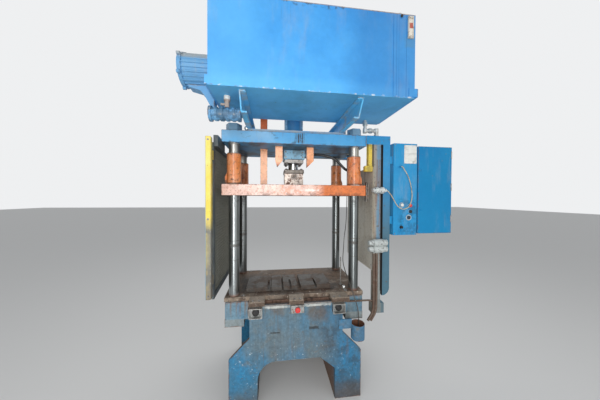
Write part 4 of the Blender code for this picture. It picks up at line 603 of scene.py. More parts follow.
CHROME = (160, 165, 165)
# The front left column has the plain chrome colour; the other three get darker grounds, a painted shade for the dark
# room they mirror.
for name, ground in (("column_front_left", CHROME), ("column_front_right", (118, 123, 123)),
                     ("column_back_left", (126, 130, 130)), ("column_back_right", (118, 122, 122))):
    seed = len(name)
    dress([name], finish_of(f"chrome {name}", ground, 0.30, [
        ([blotch(90, 0.46, 0.12, 0.35, stretch=(1, 1, 0.02), seed=seed)], (104, 108, 108), 0.31, 1),
        ([blotch(14, 0.40, 0.20, 0.3, stretch=(1, 1, 0.6), seed=seed + 2)], (92, 92, 90), 0.32, 1),
        ([band(1.820, 1.90, 0.004, 0.004, 20, 0.85), blotch(20, 0.62, 0.1, seed=seed)], (170, 167, 160), 0.34, 0.9),
        ([band(1.820, 1.90, 0.004), blotch(30, 0.36, 0.05, 0.6, seed=seed + 5)], (92, 86, 78), 0.45, 0.6),
        ([band(1.130, 1.152, 0.003, 0.010, 50, 0.7), blotch(90, 0.62, 0.1, seed=3)], (74, 66, 58), 0.5, 0.3),
        ([band(1.172, 1.178, 0.001, 0.004, 60, 0.7)], (90, 84, 76), 0.45, 0.5),
        ([band(1.030, 1.036, 0.001, 0.004, 60, 0.5)], (96, 92, 86), 0.4, 0.6),
        ([band(1.440, 1.512, 0.030, 0.04, 20, 0.5), blotch(50, 0.5, 0.1, seed=6)], OIL, 0.3, 0.3),
        ([band(0.60, 0.775, 0.012, 0.02, 50, 0.85)], RUST, 0.6, 0.2),
        ([band(1.970, 2.10, 0.002)], (112, 146, 170), 0.5, 0.1),
        ([band(1.970, 2.10, 0.002), blotch(30, 0.40, 0.06, 0.8, seed=1)], (82, 84, 84), 0.6, 0.1)],
        metal=1.0, skin=(500.0, 0.00003), mottle=(60.0, 0.04)))
dress(["piston_rod"], finish_of("chromed rod", CHROME, 0.10, [
    ([blotch(90, 0.42, 0.12, 0.5, stretch=(1, 1, 0.02))], (160, 162, 162), 0.22, 1),
    ([blotch(12, 0.42, 0.12, 0.5)], OIL, 0.2, 0.5)], metal=1.0, skin=(500.0, 0.00005)))
print("four columns and the rod")


# %% Coupling, cam plate and cylinder
def machined(name, ground, gloss=0.38, oil=0.4, rust=0.3, seed=0.0, extra=()):
    """Bare steel with tool marks, old oil and small rust."""
    return finish_of(f"machined {name}", ground, gloss, [
        ([blotch(120, 0.44, 0.12, 0.4, stretch=(1, 1, 0.08), seed=seed)], (120, 118, 114), 0.46, 0.9),
        ([blotch(11, 0.30 + oil * 0.4, 0.10, 0.85, seed=seed + 2)], OIL, 0.36, 0.3),
        ([blotch(34, 0.28 + rust * 0.4, 0.04, 0.85, seed=seed + 4)], RUST, 0.66, 0.1),
        *extra,
        ([edges_of(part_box(name), 0.003, 60)], (212, 208, 200), 0.30, 1)], metal=0.85, skin=(320.0, 0.0002))


dress(["rod_coupling"], machined("rod_coupling", (190, 177, 167), 0.42, 0.24, 0.30, 1, extra=[
    ([blotch(70, 0.44, 0.04, 0.8, seed=9)], (112, 88, 76), 0.6, 0.2),
    ([blotch(110, 0.40, 0.03, 0.8, seed=4)], (66, 54, 48), 0.6, 0.1),
    ([spot((-0.10, -0.10, 1.700), (0.10, 0.10, 1.74), 0.002, 0.002, 40, 0.75)], (84, 80, 74), 0.4, 0.6)]))
for name in ("cylinder_head", "cylinder_cap"):
    dress([name], sprayed(f"sprayed {name}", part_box(name), 15.0, ground=(126, 182, 212), pale=(170, 202, 214), extra=[
        ([blotch(14, 0.46, 0.08, 0.7, seed=3)], (96, 118, 128), 0.5),
        ([blotch(44, 0.38, 0.03, 0.8, seed=6)], (70, 62, 56), 0.6)]))
dress(["cam_plate"], machined("cam_plate", (96, 92, 88), 0.42, 0.5, 0.4, 4))
dress(["cylinder_barrel"], sprayed("sprayed barrel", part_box("cylinder_barrel"), 9.0, ground=(62, 128, 172),
                                   fading=0.3))
print("coupling, cam plate and cylinder")

# %% [markdown]
# ## Orange moving parts
# The platen, its sleeves and the bars are brushed with orange machine enamel. It is glossy where it is
# clean, rubbed along the front edge, painted near white on the left of its front as a painted highlight,
# and blackened by oil near the columns and the coupling. One long chip on the front shows the white
# filler below.

# %% Orange enamel
def enamel(name, box, seed=0.0, extra=(), ground=ORANGE):
    """Brushed orange enamel on a piece that fills the box."""
    return finish_of(f"enamel {name}", ground, 0.36, [
        ([blotch(2.4, 0.50, 0.20, 0.55, seed=seed)], ORANGE_PALE, 0.32),
        ([blotch(40, 0.34, 0.04, 0.40, stretch=(0.10, 1, 1), seed=seed + 5)], (196, 92, 46), 0.40),
        ([blotch(9, 0.36, 0.08, 0.60, seed=seed + 3)], (120, 62, 36), 0.45),
        ([blotch(46, 0.30, 0.03, 0.70, seed=seed + 8), blotch(6, 0.50, 0.1, seed=seed)], OIL, 0.40),
        *extra,
        ([edges_of(box, 0.005, 55, 0.85)], RUST_DARK, 0.6),
        ([edges_of(box, 0.002, 80, 0.8)], (200, 190, 178), 0.35, 0.7)],
        coat=0.10, mottle=(34.0, 0.24))


FRONT_EDGE = (-0.62, 1.50), (0.62, 1.60)
dress(["platen_plate"], enamel("platen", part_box("platen_plate"), 2.0, extra=[
    # The left of the front face is painted near white: a painted highlight of the flash's glare.
    ([on_front((-0.62, 1.50), (0.12, 1.60), 0.10, 0.12, 8, 0.95), blotch(5, 0.74, 0.14, seed=3)],
     (255, 246, 240), 0.34),
    ([on_front((-0.62, 1.50), (0.16, 1.60), 0.10), blotch(70, 0.36, 0.03, 0.75, seed=5)], (206, 128, 92), 0.45),
    ([on_front(*FRONT_EDGE, 0.02), blotch(72, 0.42, 0.02, 0.75, seed=15)], (150, 84, 58), 0.5),
    ([on_front(*FRONT_EDGE, 0.02), blotch(34, 0.41, 0.03, 0.6, seed=19)], (196, 116, 78), 0.5),
    ([on_front((-0.10, 1.50), (0.06, 1.60), 0.06), blotch(24, 0.46, 0.04, 0.8, seed=8)], (214, 132, 88), 0.45),
    ([on_front((0.070, 1.548), (0.170, 1.560), 0.006, 0.060, 16), blotch(20, 0.60, 0.03, seed=6)],
     (250, 240, 228), 0.5),
    ([on_front((-0.40, 1.50), (0.50, 1.53), 0.010, 0.02, 30, 0.6), blotch(22, 0.46, 0.05, seed=7)],
     (96, 52, 32), 0.45),
    ([spot((-0.56, -0.28, 1.59), (0.56, 0.30, 1.60), 0.002), blotch(7, 0.55, 0.1, 0.85, seed=5)], OIL, 0.45),
    ([spot((-0.56, -0.30, 1.50), (0.56, 0.30, 1.5125), 0.001, 0, 20, 0.9)], (104, 92, 82), 0.42, 0.6)]))
print("platen")

# %% Sleeves and bars
# The bars get a near-white orange ground: a painted highlight of the flash's glare on the same enamel.
GLARE_PALE_ENAMEL = (252, 180, 134)
for name in ("guide_sleeve_front_left", "guide_sleeve_front_right", "guide_sleeve_back_left",
             "guide_sleeve_back_right", "trip_bar", "stop_bar_left", "stop_bar_right"):
    low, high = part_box(name)
    bar = "bar" in name
    surface_layers = [] if bar else [
        ([blotch(7, 0.50, 0.16, 0.60, seed=len(name) + 12)], (222, 132, 48), 0.36),
        ([blotch(16, 0.44, 0.08, 0.75, stretch=(1, 1, 0.5), seed=len(name))], (176, 88, 36), 0.45),
        # Pale vertical streaks on the sleeves are painted highlights.
        ([blotch(30, 0.47, 0.16, 0.45, stretch=(1, 1, 0.35), seed=len(name) + 9)], (242, 190, 154), 0.35),
        ([blotch(36, 0.40, 0.04, 0.80, seed=len(name) + 3)], (110, 66, 42), 0.5),
        ([blotch(60, 0.34, 0.02, 0.90, seed=len(name) + 6)], SOOT, 0.5)]
    if name == "trip_bar":
        # Above the crown the trip bar is painted a deeper orange, outside the painted glare.
        surface_layers = [([band(1.985, 2.20, 0.010, 0.01, 40)], (236, 112, 52), 0.4)]
    elif bar:
        surface_layers = [([band(low.z - 0.02, low.z + 0.030, 0.012, 0.02, 40, 0.8)], (188, 96, 48), 0.45),
                ([blotch(30, 0.40, 0.05, 0.6, seed=4)], (214, 130, 88), 0.45)]
    dress([name], enamel(name, (low, high), 1.0 + len(name) % 5, ground=GLARE_PALE_ENAMEL if bar else ORANGE, extra=[
        *surface_layers,
        ([band(low.z - 0.01, low.z + 0.012, 0.008, 0.01, 60, 0.8)], OIL, 0.5),
        ([band(high.z - 0.004, high.z + 0.01, 0.003, 0.004, 60, 0.7)], (110, 96, 84), 0.4, 0.5)]))
print("sleeves and bars")

# %% [markdown]
# ## Base, bed and cup
# The base has the oldest paint on the press: faded, greyed by dust, flecked with weld spatter and with
# rust running down where the tongues drip. The feet stand in wet sweepings, so they are brown. The bed
# is bare plate with a hard brown skin, polished only along the edges that dies slide over.

# %% Old paint on the base
BASE_BLUE = (36, 114, 152)


def old_paint(name, box, seed=0.0, ground=BASE_BLUE, extra=()):
    """Faded and spattered blue paint on a piece that fills the box."""
    return finish_of(name, ground, 0.55, [
        ([blotch(2.6, 0.46, 0.12, 0.65, seed=seed)], (88, 108, 116), 0.66),
        ([blotch(5, 0.44, 0.10, 0.70, stretch=(1, 1, 0.5), seed=seed + 4)], (34, 128, 174), 0.50),
        ([blotch(13, 0.38, 0.08, 0.55, seed=seed + 2)], (112, 104, 92), 0.7),
        ([blotch(30, 0.34, 0.03, 0.75, seed=seed + 9)], (92, 74, 60), 0.7),
        *extra,
        ([blotch(70, 0.34, 0.02, 0.75, seed=seed + 12), blotch(6, 0.5, 0.1, seed=seed)], (62, 50, 42), 0.7),
        ([blotch(85, 0.285, 0.015, 0.9, seed=seed + 6)], (206, 214, 214), 0.6),
        ([edges_of(box, 0.008, 36, 0.9)], RUST, 0.7),
        ([edges_of(box, 0.003, 60, 0.7)], (168, 172, 170), 0.45, 0.3)],
        skin=(120.0, 0.0006), mottle=(46.0, 0.34))


# %% Base, beams and cup
on_base = face_between(-0.38, -0.36)
base_box = at(-0.484, -0.369, 0), at(0.484, 0.288, 0.7287)
dress(["base_frame"], old_paint("old paint base", base_box, 1.0, extra=[
    ([on_base((-0.36, 0.42), (0.02, 0.74), 0.08, 0.12, 9, 0.75)], (112, 120, 118), 0.68),
    ([on_base((-0.20, 0.30), (0.24, 0.50), 0.06, 0.14, 14, 0.55)], (110, 108, 98), 0.7),
    ([on_base((-0.185, 0.655), (-0.110, 0.720), 0.020, 0.12, 18, 0.75)], (92, 74, 62), 0.7),
    ([on_base((0.085, 0.600), (0.215, 0.720), 0.022, 0.12, 16, 0.85)], (88, 68, 56), 0.7),
    ([run(0.725, 0.42, 42, 0.50, 0.80, 3), on_base((-0.30, 0.30), (0.30, 0.73), 0.02)], (92, 82, 72), 0.7),
    ([blotch(7, 0.50, 0.14, 0.70, stretch=(1, 1, 0.10), seed=21), on_base((-0.34, 0.28), (0.30, 0.73), 0.06)],
     (104, 112, 110), 0.68),
    ([on_base((-0.50, 0.02), (0.50, 0.42), 0.06), blotch(60, 0.352, 0.012, 0.9, seed=31)], (214, 222, 222), 0.6),
    # A pale ragged strip just under the front's top edge is a painted highlight along that edge.
    ([on_base((-0.25, 0.704), (0.25, 0.722), 0.003, 0.014, 30, 0.9),
      blotch(9, 0.52, 0.05, seed=3)], (190, 192, 186), 0.6),
    ([on_base((-0.195, 0.524), (-0.125, 0.532), 0.002, 0.010, 60)], SOOT, 0.7),
    ([on_base((0.085, 0.535), (0.160, 0.556), 0.004, 0.016, 50, 0.85)], SOOT, 0.7),
    ([on_base((0.08, 0.34), (0.18, 0.43), 0.03, 0.07, 30), blotch(40, 0.40, 0.05, 0.8, seed=2)], (112, 104, 92), 0.7),
    ([spot((-1, -0.38, -0.01), (1, 0.30, 0.050), 0.030, 0.06, 26, 0.95)], (92, 78, 64), 0.75),
    ([spot((0.27, -0.38, -0.01), (0.50, 0.30, 0.100), 0.040, 0.08, 20, 0.9)], (84, 72, 62), 0.75),
    ([spot((0.279, -0.34, 0.0), (0.312, 0.30, 0.33), 0.006, 0.01, 20, 0.95)], (112, 84, 64), 0.75),
    # The left arch's inner wall is painted darker than the right one: painted shade on a face in shadow.
    ([spot((-0.312, -0.34, 0.0), (-0.279, 0.30, 0.33), 0.006, 0.01, 20, 0.8)], (70, 62, 56), 0.75),
    ([spot((-0.470, -0.366, 0.30), (0.470, 0.285, 0.728), 0.001)], (84, 68, 56), 0.75),
    ([spot((-0.50, -0.60, 0.7285), (0.50, 0.60, 0.80), 0.001)], (84, 68, 56), 0.75),
    ([on_base((0.22, -0.01), (0.50, 0.74), 0.06, 0.10, 10, 0.5)], (44, 78, 104), 0.62),
    ([on_base((0.20, -0.01), (0.50, 0.74), 0.06), blotch(14, 0.46, 0.05, 0.8, seed=33)], (52, 58, 62), 0.66),
    ([on_base((-0.50, -0.01), (0.50, 0.10), 0.07, 0.12, 14, 0.6)], (88, 80, 72), 0.7),
    ([on_base((-0.30, 0.34), (0.30, 0.71), 0.04),
      blotch(60, 0.44, 0.10, 0.5, stretch=(1, 1, 0.04), seed=17)], (66, 84, 92), 0.62),
    ([run(0.46, 0.30, 34, 0.42, 0.7, 8)], (104, 84, 70), 0.7)]))
for side, seed in (("left", 4.0), ("right", 6.0)):
    beam = f"side_beam_{side}"
    dress([beam], old_paint(f"old paint beam {side}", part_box(beam), seed, ground=(104, 138, 156), extra=[
        ([run(0.728, 0.16, 44, 0.5, 0.8, seed)], (124, 96, 74), 0.7),
        ([spot((-1, -0.40, 0.54), (1, 0.40, 0.603), 0.004, 0.006, 30, 0.7)], (138, 142, 138), 0.66)]))
CUP_HOLLOW = {"Centre": at(0.455, -0.375, 0), "Radius": 0.0488, "Low": 0.4525}
dress(["drip_cup"], old_paint("old paint cup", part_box("drip_cup"), 8.0, ground=(62, 112, 146), extra=[
    ([(round_place, {**CUP_HOLLOW, "High": 0.57})], (112, 74, 54), 0.7),
    ([(round_place, {**CUP_HOLLOW, "High": 0.485})], (62, 40, 30), 0.35)]))
print("base, beams and cup")

# %% Rusty plate and bolster blocks
plate_box = at(-0.531, -0.288, 0.729), at(0.531, 0.288, 0.761)
tongue_box = at(-0.531, -0.382, 0.729), at(0.531, 0.288, 0.761)
TONGUES = (-0.54, -0.39, 0.70), (0.54, -0.20, 0.80)
BLOCK_TOPS = (-0.42, -0.22, 0.762), (0.32, 0.06, 0.80)
dress(["bed_plate"], finish_of("rusty bed", (92, 82, 72), 0.62, [
    ([blotch(3.2, 0.52, 0.14, 0.75, seed=1)], (112, 88, 68), 0.72),
    ([blotch(11, 0.42, 0.08, 0.75, seed=5)], (74, 56, 44), 0.7),
    ([blotch(7, 0.38, 0.06, 0.8, seed=9)], (146, 134, 120), 0.5, 0.3),
    ([blotch(60, 0.38, 0.03, 0.8, seed=3)], (134, 104, 78), 0.75),
    ([blotch(5, 0.40, 0.08, 0.85, seed=12)], (40, 34, 30), 0.4, 0.1),
    ([blotch(24, 0.38, 0.04, 0.80, seed=14)], (52, 44, 38), 0.6, 0.1),
    ([blotch(110, 0.32, 0.02, 0.80, seed=15)], (190, 182, 170), 0.5, 0.3),
    ([spot((-0.425, -0.215, 0.7600), (-0.395, 0.06, 0.7625), 0.006)], (34, 30, 26), 0.7),
    ([spot((-0.42, -0.228, 0.7600), (0.32, -0.208, 0.7625), 0.004, 0.006, 50, 0.8)], (40, 34, 30), 0.7),
    ([spot((-0.54, -0.39, 0.728), (0.54, -0.26, 0.763), 0.012, 0.02, 24, 0.5)], (164, 148, 130), 0.6, 0.1),
    ([spot(*TONGUES, 0.012), blotch(16, 0.46, 0.06, 0.85, seed=22)], (84, 66, 54), 0.65, 0.1),
    ([spot(*TONGUES, 0.012), blotch(48, 0.36, 0.03, 0.8, seed=23)], (214, 206, 194), 0.55, 0.2),
    ([spot(*BLOCK_TOPS, 0.001, 0, 20, 0.9)], (88, 86, 82), 0.5, 0.3),
    ([spot(*BLOCK_TOPS, 0.001), blotch(16, 0.48, 0.08, seed=2)], (80, 64, 52), 0.65, 0.1),
    ([spot((-0.42, -0.211, 0.762), (0.32, -0.209, 0.789), 0.001, 0, 20, 0.6)], (66, 58, 52), 0.6, 0.1),
    ([spot((-0.54, -0.40, 0.70), (0.54, -0.3812, 0.7604), 0.0004, 0, 20, 0.75)], (76, 58, 46), 0.66, 0.1),
    ([edges_of(tongue_box, 0.005, 50, 0.8)], (158, 144, 128), 0.42, 0.6),
    ([edges_of(plate_box, 0.005, 60, 0.85)], (164, 150, 134), 0.42, 0.6)],
    metal=0.15, skin=(140.0, 0.0007), mottle=(40.0, 0.40)))
apron_finish = finish_of("rusty apron", (128, 100, 84), 0.7, [
    ([blotch(16, 0.46, 0.08, 0.8, seed=3)], (84, 64, 54), 0.7),
    ([blotch(50, 0.36, 0.03, 0.8, seed=6)], (170, 150, 134), 0.7),
    ([run(0.729, 0.03, 40, 0.5, 0.9, 2)], (40, 32, 28), 0.7)])
print("bed and blocks")

# %% [markdown]
# ## Guards
# The left guard is a frame of dark strip with an open mesh on it and a yellow light-curtain post in
# front, whose lower half is grey. The right one hangs from two posts, one of them sky blue
# and one rusty, with a brown sheet between them and the columns.

# %% Left guard
on_curtain = face_between(-0.56, -0.30)
dress(["guard_frame_left"], finish_of("dark guard frame", (64, 72, 76), 0.55, [
    ([blotch(8, 0.44, 0.1, 0.6, seed=2)], (98, 104, 104), 0.65),
    ([blotch(30, 0.36, 0.05, 0.7, seed=5)], RUST, 0.7),
    ([edges_of(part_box("guard_frame_left"), 0.003, 50)], (140, 152, 156), 0.5, 0.2)]))
dress(["light_curtain_left"], finish_of("yellow post", YELLOW, 0.42, [
    ([blotch(6, 0.46, 0.12, 0.5, seed=3)], (240, 226, 150), 0.4),
    ([on_curtain((-0.62, 0.80), (-0.50, 1.322), 0.060, 0.05, 22, 0.96)], (112, 115, 116), 0.55),
    ([on_curtain((-0.62, 0.80), (-0.50, 1.02), 0.10, 0.06, 12, 0.8)], (116, 104, 92), 0.6),
    ([on_curtain((-0.62, 0.80), (-0.50, 1.30), 0.02), blotch(20, 0.44, 0.06, seed=6)], (112, 112, 106), 0.6),
    ([on_curtain((-0.5990, 0.80), (-0.5950, 1.90), 0.0010, 0.001, 20, 0.85)], (120, 178, 206), 0.5),
    ([blotch(40, 0.34, 0.03, 0.7, seed=8)], (90, 84, 66), 0.6),
    ([edges_of(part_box("light_curtain_left"), 0.0025, 60)], (196, 196, 184), 0.45, 0.1)]))
print("left guard")

# %% Right guard, switch and conduits
on_posts = face_between(-0.36, -0.24)
posts_box = at(0.549, -0.348, 0.582), at(0.745, -0.245, 1.985)
CLAMP_PLATE = (0.58, -0.37, 1.527), (0.702, -0.303, 1.585)
dress(["guard_posts_right"], finish_of("two posts", (26, 132, 186), 0.5, [
    ([blotch(3.5, 0.48, 0.15, 0.5, seed=4)], (62, 140, 184), 0.5),
    ([spot((0.30, -0.80, 0.20), (1.20, 0.20, 1.46), 0.26, 0.10, 6, 0.92)], (68, 100, 112), 0.6),
    ([on_posts((0.60, 0.55), (0.676, 1.915), 0.003, 0.002, 20, 0.9)], (138, 142, 138), 0.6),
    ([on_posts((0.30, 0.30), (0.634, 1.915), 0.002, 0.004, 30, 0.7)], (148, 136, 118), 0.6),
    ([on_posts((0.634, 1.10), (0.676, 1.915), 0.012, 0.02, 30, 0.75)], (76, 130, 164), 0.55),
    ([on_posts((0.30, 0.40), (0.676, 1.80), 0.003),
      blotch(34, 0.44, 0.06, 0.65, stretch=(1, 1, 0.06), seed=1)], (128, 98, 76), 0.7),
    ([on_posts((0.30, 0.40), (0.676, 1.915), 0.003), blotch(60, 0.38, 0.04, 0.8, seed=12)], (92, 88, 80), 0.7),
    # A black strip on the nearer post's right edge and black on its side face are painted shade in the gap between the
    # two posts.
    ([on_posts((0.6655, 0.76), (0.678, 1.918), 0.001, 0.001, 20)], (26, 30, 34), 0.8),
    ([spot((0.675, -0.305, 0.70), (0.686, -0.24, 1.918), 0.0005)], SOOT, 0.8),
    ([spot(*CLAMP_PLATE, 0.001, 0, 20)], (206, 210, 208), 0.42, 0.3),
    ([spot(*CLAMP_PLATE, 0.001, 0, 20), blotch(60, 0.42, 0.04, 0.8, seed=3)], (92, 94, 92), 0.5, 0.3),
    ([spot((0.596, -0.36, 0.57), (0.71, -0.30, 0.69), 0.004, 0.004)], (112, 120, 120), 0.55, 0.4),
    ([run(1.92, 0.5, 40, 0.4, 0.7, 6)], (110, 92, 76), 0.7),
    ([blotch(26, 0.34, 0.04, 0.75, seed=7)], (96, 78, 62), 0.7),
    ([edges_of(posts_box, 0.005, 45, 0.8)], RUST, 0.66)]))
dress(["guard_panel_right"], finish_of("brown sheet", (196, 193, 182), 0.6, [
    ([blotch(3, 0.5, 0.15, 0.7, stretch=(1, 1, 0.5), seed=2)], (160, 150, 134), 0.65),
    ([blotch(14, 0.42, 0.08, 0.7, seed=5)], (178, 170, 152), 0.6),
    ([blotch(44, 0.32, 0.03, 0.8, seed=8)], RUST, 0.7),
    ([blotch(75, 0.40, 0.03, 0.8, seed=18)], (206, 202, 190), 0.6),
    ([blotch(85, 0.36, 0.03, 0.8, seed=28)], (96, 84, 72), 0.6),
    ([run(1.74, 0.6, 36, 0.44, 0.7, 4)], (92, 74, 60), 0.6),
    ([edges_of(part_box("guard_panel_right"), 0.004, 50)], (176, 164, 142), 0.5, 0.1)], metal=0.05))
dress(["limit_switch"], finish_of("yellow switch", (214, 186, 70), 0.42, [
    ([blotch(18, 0.46, 0.08, 0.8, seed=4)], (150, 132, 60), 0.5),
    ([blotch(50, 0.36, 0.03, 0.8, seed=2)], OIL, 0.5),
    ([edges_of(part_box("limit_switch"), 0.002, 60)], (216, 208, 170), 0.4, 0.2)]))
CONDUIT_CLAMP = (0.54, -0.37, 1.070), (0.71, -0.29, 1.182)
for name, seed in (("conduit_drop", 1.0), ("conduit_cross", 5.0)):
    dress([name], finish_of(f"galvanised {name}", (96, 82, 70), 0.6, [
        ([blotch(9, 0.50, 0.12, 0.8, seed=seed)], (84, 58, 44), 0.72),
        ([blotch(30, 0.38, 0.05, 0.8, seed=seed + 3)], (120, 108, 96), 0.55, 0.3),
        ([spot(*CONDUIT_CLAMP, 0.002, 0.001, 20, 0.95)], (182, 188, 186), 0.46, 0.2),
        ([spot(*CONDUIT_CLAMP, 0.002), blotch(50, 0.42, 0.05, 0.8, seed=2)], (92, 92, 88), 0.6, 0.2)], metal=0.2))
print("right guard, switch and conduits")

# %% [markdown]
# ## Control box, cabinet and buttons
# Folded sheet boxes in a fresher blue than the frame, with dust on their tops, grease round the
# devices and bare metal at the corners. The devices keep their own colours: a white, a red and a black
# cap and a dark selector on the box, and under the bed two black palm buttons and a red stop in boxes
# of bare steel.

# %% Sheet boxes
SHEET_SPECULAR = 0.15
for name, seed in (("control_box", 11.0), ("control_box_cover", 12.0), ("control_cabinet", 13.0),
                   ("cabinet_door", 14.0)):
    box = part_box(name)
    ground, pale = (((38, 140, 192), (82, 164, 208)) if "box" in name else
                    ((10, 123, 174), (46, 146, 194)))
    extra = [([run(box[1].z, 0.22, 50, 0.40, 0.5, seed)], DUST, 0.6),
             ([blotch(24, 0.32, 0.04, 0.6, seed=seed)], (96, 120, 132), 0.6)]
    if name == "control_box_cover":
        extra += [([spot((0.83, -0.35, 1.22), (0.97, -0.30, 1.47), 0.03, 0.05, 30, 0.8), blotch(28, 0.5, 0.08)],
                   (40, 84, 112), 0.45)]
    paint = sprayed(f"sprayed {name}", box, seed, ground=ground, fading=0.35, wear=0.7, extra=extra, pale=pale)
    paint.node_tree.nodes["Principled BSDF"].inputs["Specular IOR Level"].default_value = SHEET_SPECULAR
    dress([name], paint)
print("control box and cabinet")


# %% Buttons, hoses and mesh
def moulded(name, colour, gloss=0.35, surface_layers=0.5, seed=0.0):
    """Plastic that fingers have greased and dulled."""
    return finish_of(name, colour, gloss, [
        ([blotch(60, 0.42, 0.1, surface_layers, seed=seed)], (120, 112, 102), 0.6),
        ([blotch(160, 0.36, 0.05, surface_layers, seed=seed + 3)], SOOT, 0.6)], skin=(900.0, 0.0001))


dress(["push_white"], moulded("white cap", WHITE, 0.35))
dress(["push_red", "stop_button"], moulded("red cap", (206, 40, 36), 0.3, 0.3, 2))
dress(["push_black", "palm_button_left", "palm_button_right"], moulded("black cap", (12, 12, 14), 0.45, 0.12, 4))
dress(["selector_switch"], moulded("selector", (52, 52, 52), 0.4, 0.3, 5))
for name, seed in (("palm_box_left", 1.0), ("palm_box_right", 2.0), ("stop_button_box", 3.0)):
    dress([name], machined(name, (164, 166, 164), 0.42, 0.30, 0.22, seed))
rubber = finish_of("oily rubber", (34, 34, 36), 0.38, [
    ([blotch(30, 0.45, 0.1, 0.6)], (64, 62, 60), 0.55),
    ([blotch(90, 0.36, 0.04, 0.6, seed=4)], DUST, 0.7)], skin=(700.0, 0.0002))
clear_line = finish_of("aged plastic line", (58, 54, 50), 0.35, [
    ([blotch(26, 0.45, 0.1, 0.6, seed=2)], (110, 102, 90), 0.5)], skin=(700.0, 0.0001))
grey_lead = finish_of("grey lead", (196, 176, 134), 0.5, [
    ([blotch(30, 0.42, 0.08, 0.8, seed=2)], (96, 78, 52), 0.6),
    ([blotch(12, 0.40, 0.1, 0.7, seed=6)], (222, 208, 172), 0.5)], skin=(700.0, 0.0002))
for name, material in (("hydraulic_hose", rubber), ("oil_line", clear_line), ("sagging_lead", grey_lead)):
    cords[name].data.materials.append(material)
dress(["pressure_hose", "lube_line", "control_cable"], rubber)
dress(["guard_mesh_left"], finish_of("mesh steel", (122, 123, 114), 0.55, [
    ([blotch(6, 0.46, 0.12, 0.7, seed=2)], (124, 122, 112), 0.65),
    ([blotch(40, 0.36, 0.05, 0.7, seed=4)], (96, 82, 68), 0.7)], metal=0.3))
print("buttons, hoses and mesh")

# %% [markdown]
# ## Turned and cut details
# Rings, plugs, fittings and plates are small parts that were turned on a lathe or cut from sheet. Two
# helpers make them the same way: one spins a profile about an axis, the other cuts a block and breaks
# its edges. The parts of one kind are joined into one mesh, so that each kind has one finish.

# %% Helpers for small parts
SHARP_ANGLE = 35


def keep(name, shape, material, body, smooth=False):
    """Turn a finished shape into a piece that rides on a body."""
    bmesh.ops.recalc_face_normals(shape, faces=shape.faces)
    mesh = bpy.data.meshes.new(name)
    for face in shape.faces:
        face.smooth = smooth
    shape.to_mesh(mesh)
    shape.free()
    if smooth:
        mesh.set_sharp_from_angle(angle=math.radians(SHARP_ANGLE))
    piece = put_in_scene(name, mesh)
    mesh.materials.append(material)
    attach(piece, body)
    return piece


def turned(shape, profile, base, direction, sides=28):
    """Spin a closed profile of (radius, height) about an axis that starts at the base."""
    turn = Vector((0, 0, 1)).rotation_difference(Vector(direction)).to_matrix()
    start = at(*base)
    rings = []
    for radius, height in profile:
        rings.append([shape.verts.new(start + turn @ Vector((
            radius * math.cos(math.tau * step / sides), radius * math.sin(math.tau * step / sides), height)))
            for step in range(sides)] if radius > 0 else [shape.verts.new(start + turn @ Vector((0, 0, height)))])
    for lower, upper in zip(rings, rings[1:] + rings[:1]):
        for step in range(sides):
            after = (step + 1) % sides
            if len(lower) > 1 and len(upper) > 1:
                shape.faces.new((lower[step], lower[after], upper[after], upper[step]))
            elif len(lower) > 1:
                shape.faces.new((lower[step], lower[after], upper[0]))
            elif len(upper) > 1:
                shape.faces.new((lower[0], upper[after], upper[step]))


def ring(shape, base, direction, inner, outer, height, sides=28):
    """A ring with broken edges."""
    break_by = min(height, outer - inner) * 0.22
    turned(shape, [(inner, 0), (outer, 0), (outer, height - break_by), (outer - break_by, height),
                   (inner + break_by, height), (inner, height - break_by)], base, direction, sides)


def peg(shape, base, direction, radius, height, sides=24, break_by=0.0012):
    """A solid peg with a broken edge."""
    turned(shape, [(0, 0), (radius, 0), (radius, height - break_by), (radius - break_by, height), (0, height)],
           base, direction, sides)


def block(shape, low, high, break_by=0.001):
    """A block between two corners with broken edges."""
    low, high = at(*low), at(*high)
    made = bmesh.ops.create_cube(shape, size=1.0)["verts"]
    for vertex in made:
        vertex.co = (low + high) / 2 + Vector(side * reach for side, reach in zip(vertex.co, high - low))
    edges = list(dict.fromkeys(edge for vertex in made for edge in vertex.link_edges))
    bmesh.ops.bevel(shape, geom=edges, offset=break_by, segments=1, affect="EDGES", profile=0.7)


# %% Finishes and directions of the small parts
ALUMINIUM = finish_of("dull aluminium", (212, 212, 207), 0.38, [
    ([blotch(60, 0.44, 0.1, 0.5, stretch=(0.1, 1, 1))], (158, 158, 154), 0.42, 0.8),
    ([blotch(16, 0.40, 0.1, 0.6, seed=3)], (128, 126, 120), 0.55, 0.4)], metal=0.7, skin=(700.0, 0.0001))
OLD_STEEL = finish_of("old steel", (150, 148, 144), 0.42, [
    ([blotch(50, 0.46, 0.1, 0.7, seed=2)], (96, 92, 88), 0.5, 0.5),
    ([blotch(90, 0.36, 0.04, 0.8, seed=5)], RUST, 0.7, 0.1)], metal=0.75, skin=(500.0, 0.0002))
UP, DOWN, FRONT_WAY, RIGHT_WAY, LEFT_WAY = (0, 0, 1), (0, 0, -1), (0, -1, 0), (1, 0, 0), (-1, 0, 0)
BOX_FACE = -0.305
COLUMNS = [(x, y) for x in (0.467, -0.467) for y in (0.242, -0.242)]


def paint_of(node):
    """The finish that a solid already has."""
    return nodes[node].data.materials[0]


print("aluminium, old steel and", len(COLUMNS), "columns")

